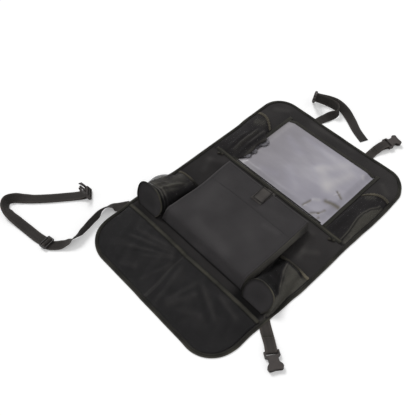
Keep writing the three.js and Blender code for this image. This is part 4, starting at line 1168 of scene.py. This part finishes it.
LOWER_FOOT, LOWER_MOUTH = -300.5, -179
LOWER_HEIGHT = LOWER_MOUTH - LOWER_FOOT
LOWER_FOLDS = [
    ((-26, -197), (-133, -238), 5.5, 2.0),
    ((-20, -202), (-117, -258), 5.0, 1.7),
    ((-14, -203), (-78, -252), 5.0, 1.6),
    ((-34, -192), (-131, -218), 6.0, 1.7),
    ((-10, -215), (-40, -285), 5.5, 1.4),
    ((58, -205), (134, -242), 6.0, 1.9),
    ((51, -208), (32, -283), 5.5, 1.6),
    ((97, -198), (160, -211), 6.0, 1.6),
    ((36, -286), (70, -222), 6.0, 1.7),
    ((8, -200), (20, -290), 5.0, 1.3),
    ((110, -250), (60, -280), 7.0, 1.3),
    ((-96, -292), (-60, -270), 7.0, 1.2),
]


def lower_points(u, v, lift=0.0):
    """u from left to right, v from the foot to the mouth."""
    y = mix(LOWER_FOOT, LOWER_MOUTH, v)
    half = half_width(y) - 1.2
    x = mix(-half, half, u)
    lines = ridges(x, y, LOWER_FOLDS, 1.1)
    fold = 0.4 * np.sin(26 * u + 6 * v) * ease(v, 0.1, 0.4) * (1 - ease(v, 0.6, 0.9))
    fold = fold + 0.9 * lines + 0.7 * ripple(x, y, 92, 34)
    # Painted light on the folds' crests and painted shade just beside them, over tone that differs at random.
    tone = 0.12 * ripple(x, y, 91, 40) + 0.24 * lines - 0.14 * ridges(x + 8, y + 8, LOWER_FOLDS)
    tone = tone + 0.6 * bell(x + 4, 2.6) * (1 - ease(v, 0.9, 1.0))
    shift = -10 * ease(y, -300, -192) * bell(x, 30)
    lobe = np.abs(np.sin(2 * math.pi * u)) ** 0.5
    z = SEAT + lobe * (6.4 * ease(v, 0.02, 0.6) + fold * ease(v, 0, 0.12))
    return stack(x + shift, y, np.maximum(z, SEAT + 0.2) + lift), tone


def make_lower_pockets():
    u, v = grid(200, 84)
    p, tone = lower_points(u, v)
    pocket = shell("lower_mesh", p, MESH_THICK, tone)
    dress(pocket, LOWER, "mesh", "lower_pocket_panel")
    u, v = grid(220, 6)
    band, _ = lower_points(u, mix(1 - 10 / LOWER_HEIGHT, 1.0, v), BAND_LIFT)
    band[..., 2] += 0.25 * np.sin(u * 190) * np.abs(np.sin(2 * math.pi * u)) ** 0.5
    tape = shell("lower_tape", band, 0.7, 0.15 * np.sin(u * 33) + 0.5 - 1.2 * np.abs(2 * v - 1))
    dress(tape, TAPE, "tape", "lower_pocket_tape")
    rows = [(band[k] + [0, 0, 0.75], same(UP, 220)) for k in (1, 4)]
    sew("lower_stitches", rows, THREAD, "tape")
    y = np.linspace(-298, -192, 40)
    seam, _ = lower_points(np.full(40, 0.5), (y - LOWER_FOOT) / LOWER_HEIGHT, 0.6)
    sew("lower_seam_stitches", [(seam, same(UP, 40))], PALE_THREAD, "mesh", gap=FINE_GAP)


# Webbing

STRAP_WIDTH = 22
STRAP_THICK = 1.3
BAR_RADIUS = math.hypot(3.6, 3.4) / 2
LOOP = BAR_RADIUS + 0.3 + STRAP_THICK / 2
LAYER = (STRAP_THICK + 0.6) / 2

# Rows of a strap's route: a place, and the direction across the webbing there
LOWER_RIGHT = [
    [185, -164.8, 1.25, 0.6, 0.8, 0],
    [197, -173.8, 1.25, 0.6, 0.8, 0],
    [209, -182.8, 1.25, 0.6, 0.8, 0],
    [220, -190.8, 1.8, 0.57, 0.82, 0],
    [231.4, -199.4, 4.2, 0.54, 0.84, 0],
    [243, -208.4, 4.65, 0.54, 0.84, 0],
]
UPPER_RIGHT = [
    [82.6, 296, 1.25, 1, 0, 0],
    [82.6, 305, 1.25, 1, 0, 0],
    [82.6, 313, 1.25, 1, 0, 0],
    [83.4, 329, 3.9, 1, -0.05, 0.06],
    [86.4, 346, 7.5, 1, -0.12, 0.08],
    [91.4, 362.4, 7.3, 1, -0.07, 0],
]
UPPER_LEFT = [
    [-72.5, 295, 1.25, -0.99, 0.08, 0],
    [-71.8, 304, 1.25, -0.99, 0.08, 0],
    [-71, 313.5, 1.25, -0.99, 0.08, 0],
    [-65.5, 327, 4.4, -0.92, 0.3, 0.2],
    [-57.5, 342, 9.6, -0.6, 0.3, 0.7],
    [-51, 353, 12.2, -0.2, 0.1, 0.95],
    [-52, 364, 14.4, -0.25, 0.1, 0.96],
    [-62, 371, 14.1, -0.5, 0.35, 0.8],
    [-82, 372.5, 13.9, -0.45, 0.4, 0.8],
    [-104, 366.5, 15.9, -0.43, 0.41, 0.81],
    [-123, 356.5, 18.4, -0.42, 0.41, 0.81],
]
UPPER_LEFT_BAND = [
    [-123, 356.5, 18.4, -0.42, 0.41, 0.81],
    [-106, 369, 15.4, -0.45, 0.43, 0.78],
    [-92, 378.5, 13.5, -0.45, 0.5, 0.73],
    [-72, 384, 12.5, -0.35, 0.62, 0.7],
    [-46, 381, 9.9, -0.15, 0.78, 0.6],
    [-18, 370.5, 4.9, 0.2, 0.94, 0.28],
    [13.3, 353.4, 1.4, 0.48, 0.87, 0.03],
    [46, 339.5, 0.7, 0.4, 0.92, 0],
]
LOWER_LEFT = [
    [-187.4, -175.6, 1.25, -0.84, 0.54, 0],
    [-198.7, -193.2, 1.25, -0.84, 0.54, 0],
    [-210, -210.8, 2.1, -0.84, 0.54, 0],
    [-216, -222, 8.3, -0.6, 0.3, -0.65],
    [-218, -236, 11.5, -0.4, 0.18, -0.9],
    [-213.5, -256, 11.4, 0.12, -0.1, -1],
    [-208, -280, 11.4, 0.12, -0.05, -1],
    [-203, -302, 11.4, 0, 0, -1],
    [-201, -322, 10.9, -0.4, 0, -0.9],
    [-205, -340, 6.5, -0.9, 0.2, -0.4],
    [-212, -354, 3.5, -0.8, 0.6, 0],
]
# Over the slider's bar: places along its heading, and heights over its middle
SLIDER_HALF = [(8, -2.95), (5.4, -1.9), (4.2, 0), (3, 2.2)]
SLIDER_LINE = [(-along, up) for along, up in SLIDER_HALF] + [(0, 3.1)] + SLIDER_HALF[::-1]
LOWER_LEFT_LOOP = [
    [-262, -376.4, 2.7, -0.05, 1, 0],
    [-292, -380.4, 2.5, -0.05, 1, 0],
    [-324, -384.8, 3.8, -0.1, 1, -0.1],
    [-350, -388, 7.3, 0, 0.9, -0.4],
    [-370, -386, 10.7, 0.3, 0.5, -0.75],
    [-382, -373, 11.1, 0.6, 0.1, -0.8],
    [-378, -357, 7.9, 0.75, -0.3, -0.55],
    [-366, -343, 4.5, 0.8, -0.5, -0.25],
    [-351, -327, 2.6, 0.8, -0.6, 0],
    [-328.4, -300.7, 2.5, 0.8, -0.6, 0],
    [-308, -274.5, 2.5, 0.8, -0.6, 0],
    [-292, -253.5, 2.9, 0.8, -0.6, 0],
    [-282.5, -240.8, 5.3, 0.8, -0.6, 0],
    [-276.7, -233, 10.3, 0.8, -0.6, 0],
]


def slider_rows():
    heading = unit(np.array([-0.985, -0.17, 0]))
    across = unit(np.array([-0.17, 0.985, 0]))
    centre = np.array([-234.6, -370.6, 6])
    return [[*(centre + heading * along + [0, 0, up]), *across] for along, up in SLIDER_LINE]


class Route:
    """Rows of webbing: places, the direction across, the direction along and the face normal."""

    def __init__(self, *frames):
        self.frames = frames
        self.point, self.side, self.tangent, self.normal = frames

    @classmethod
    def along(cls, rows, steps):
        rows = np.array(rows, float)
        last = len(rows) - 1
        t = np.linspace(0, 1, steps + 1)
        ahead, behind = (curve(rows[:, :3], np.clip(t + step, 0, 1)) for step in (1e-4, -1e-4))
        tangent = unit(ahead - behind)
        row = np.minimum((t * last).astype(int), last - 1)
        across = unit(rows[:, 3:])
        side = mix(across[row], across[row + 1], ease(t * last - row, 0, 1)[:, None])
        side = square_to(side, tangent)
        return cls(curve(rows[:, :3], t), side, tangent, np.cross(side, tangent))

    def shifted(self, amount):
        """Moved off its face by an amount that depends on the share of the way."""
        t = np.linspace(0, 1, len(self.point))
        moved = self.point + self.normal * amount(t)[:, None]
        return Route(moved, self.side, self.tangent, self.normal)

    def after(self, first):
        return Route(*(frame[first:] for frame in self.frames))

    def back(self, share):
        """The last share of the way, back from its end and with its face turned over."""
        first = round(len(self.point) * (1 - share))
        point, side, tangent, normal = (frame[first:][::-1] for frame in self.frames)
        return Route(point, side, -tangent, -normal)

    def half_turn(self, steps=12):
        angle = math.pi * np.arange(1, steps)[:, None] / steps
        normal = self.normal[-1] * np.cos(angle) + self.tangent[-1] * np.sin(angle)
        tangent = -self.normal[-1] * np.sin(angle) + self.tangent[-1] * np.cos(angle)
        side = np.tile(self.side[-1], (steps - 1, 1))
        return Route(self.point[-1] + LOOP * normal, side, tangent, normal)


def joined(*routes):
    return Route(*(np.concatenate(parts) for parts in zip(*(route.frames for route in routes))))


def around_bar(out, share, spread):
    """Out to a bar, half a turn round it, and back over the last share of the way."""
    back_from = 1 - share

    def apart(t):
        return LAYER * ease(t, back_from, back_from + 0.06)

    def going(t):
        return mix(apart(t), LOOP, ease(t, 1 - spread, 1))

    def coming(t):
        whole = 1 - t * share
        return mix(2 * LAYER - apart(whole), LOOP, ease(whole, 1 - spread, 1))

    return joined(out.shifted(going), out.half_turn(), out.back(share).shifted(coming))


def make_strap(name, route, shade, tacks=()):
    inside = (np.abs(route.point[:, 0]) < 192.5) & (np.abs(route.point[:, 1]) < 302.5)
    route = route.after(int(np.argmin(inside)))
    n = len(route.point)
    row = np.arange(n)[:, None]
    # Lighter at both edges and darker across the middle, changing slowly along the strap, and darker near
    # where it leaves the panel.
    across_tone = np.array([0.45, 0.4, 0.3, -0.3, -0.2, -0.3, 0.3, 0.4])
    shade = shade + 0.12 * np.sin(row / 7) + np.tile(across_tone, 2) - 0.4 * np.exp(-row / 9)
    piece = ribbon(f"{name}_webbing", route.point, route.side, route.normal, STRAP_WIDTH, STRAP_THICK, shade)
    dress(piece, WEBBING, "webbing", name)
    rows = []
    for at in tacks:
        k = int(at * (n - 1))
        for step in (0, 1.4):
            middle = route.point[k] + route.tangent[k] * step
            line = middle + np.linspace(-1, 1, 14)[:, None] * route.side[k] * 9.5
            for face in (1, -1):
                rows.append((line + route.normal[k] * 0.7 * face, same(route.normal[k] * face, 14)))
    if rows:
        sew(f"{name}_tacks", rows, THREAD, "webbing", gap=1.7, length=1.9, width=0.8)


def make_straps():
    tacks = (0.3, 0.36)
    make_strap("lower_right_strap", around_bar(Route.along(LOWER_RIGHT, 60), 0.4, 0.3), 0.45, tacks)
    make_strap("upper_right_strap", around_bar(Route.along(UPPER_RIGHT, 60), 0.4, 0.3), 0.35, tacks)
    out = Route.along(UPPER_LEFT, 110)
    band = Route.along(UPPER_LEFT_BAND, 100)
    going = out.shifted(lambda t: LOOP * ease(t, 0.75, 1))
    coming = band.shifted(lambda t: LOOP * (1 - ease(t, 0, 0.2)))
    make_strap("upper_left_strap", joined(going, out.half_turn(), coming), 0.1)
    rows = [*LOWER_LEFT, *slider_rows(), *LOWER_LEFT_LOOP]
    back_from = (len(LOWER_LEFT) + len(SLIDER_LINE) - 1) / (len(rows) - 1)
    make_strap("lower_left_strap", around_bar(Route.along(rows, 396), 1 - back_from, 0.07), 0.1)


def finish_plastic(name, mat):
    part = bpy.data.objects[name]
    part.data.materials.clear()
    part.data.materials.append(mat)
    bevel = part.modifiers.new("soft_edges", "BEVEL")
    bevel.width = 0.45 * MM
    bevel.segments = 2
    bevel.limit_method = "ANGLE"
    bevel.angle_limit = math.radians(35)
    bevel.harden_normals = False


# Floor, light and camera


def make_floor():
    mesh = bpy.data.meshes.new("floor")
    size = 30.0
    corners = [(x * size, y * size, 0) for x, y in ((-1, -1), (1, -1), (1, 1), (-1, 1))]
    mesh.from_pydata(corners, [], [(0, 1, 2, 3)])
    floor = bpy.data.objects.new("floor", mesh)
    floor.location.z = FLOOR_Z * MM
    bpy.context.scene.collection.objects.link(floor)
    n = new_material("pale_floor")
    pale = n.add("ShaderNodeBsdfDiffuse", {"Color": (0.9, 0.9, 0.9, 1)})
    strength = n.math("MULTIPLY", n.seen(), FLOOR_GLOW)
    glow = n.add("ShaderNodeEmission", {"Color": (1, 1, 1, 1), "Strength": strength})
    both = n.add("ShaderNodeAddShader", {0: pale.outputs[0], 1: glow.outputs[0]})
    mesh.materials.append(n.finish(both))


def make_world():
    n = Nodes(bpy.data.worlds.new("plain"), "ShaderNodeOutputWorld")
    strength = n.add("ShaderNodeMix", {"Factor": n.seen(), "A": AMBIENT, "B": 1.0}).outputs[0]
    light = n.add("ShaderNodeBackground", {"Color": (1, 1, 1, 1), "Strength": strength})
    bpy.context.scene.world = n.finish(light)


def add_sun(name, energy, angle, direction):
    light = bpy.data.lights.new(name, "SUN")
    light.energy = energy
    light.angle = math.radians(angle)
    sun = bpy.data.objects.new(name, light)
    sun.rotation_euler = Vector(direction).to_track_quat("-Z", "Y").to_euler()
    bpy.context.scene.collection.objects.link(sun)


# The camera fitted to the photograph: angles in degrees, its offset in millimetres, its focus in pixels
PITCH, TURN, ROLL = 54.292, -46.140, -0.076
OFFSET = (96.787, -3.946, 1143.336)
FOCUS = 526.673
PHOTO_SIZE = 416
SENSOR = 36


def make_camera():
    pitch, turn, roll = (math.radians(angle) for angle in (PITCH, TURN, ROLL))
    sp, cp, st, ct = math.sin(pitch), math.cos(pitch), math.sin(turn), math.cos(turn)
    back = Matrix(((ct, st, 0), (-st, ct, 0), (0, 0, 1)))
    right, up, ahead = (back @ Vector(v) for v in ((1, 0, 0), (0, sp, cp), (0, cp, -sp)))
    right, up = right * math.cos(roll) - up * math.sin(roll), right * math.sin(roll) + up * math.cos(roll)
    data = bpy.data.cameras.new("camera")
    data.sensor_width = SENSOR
    data.lens = FOCUS * SENSOR / PHOTO_SIZE
    camera = bpy.data.objects.new("camera", data)
    turned = Matrix((right, up, -ahead)).transposed().to_4x4()
    tx, ty, away = (value * MM for value in OFFSET)
    turned.translation = -tx * right - ty * up - away * ahead
    camera.matrix_world = turned
    bpy.context.scene.collection.objects.link(camera)
    bpy.context.scene.camera = camera


make_panel()
make_binding()
make_window()
make_cross_tape()
make_upper_pocket("left", -1)
make_upper_pocket("right", 1)
make_ruffle()
make_main_pocket()
make_closure()
make_bottle_pocket("left_bottle", -1, LEFT_LEAN)
make_bottle_pocket("right_bottle", 1, RIGHT_LEAN)
make_lower_pockets()
make_straps()
for buckle in ("upper_left_buckle", "upper_right_buckle", "lower_right_buckle", "lower_left_buckle"):
    finish_plastic(buckle, BUCKLE)
finish_plastic("lower_left_slider", SLIDER)
make_floor()
make_world()
add_sun("key", energy=1.5, angle=18, direction=(0.8, -0.12, -0.95))
make_camera()

bpy.context.scene.view_settings.view_transform = "Standard"
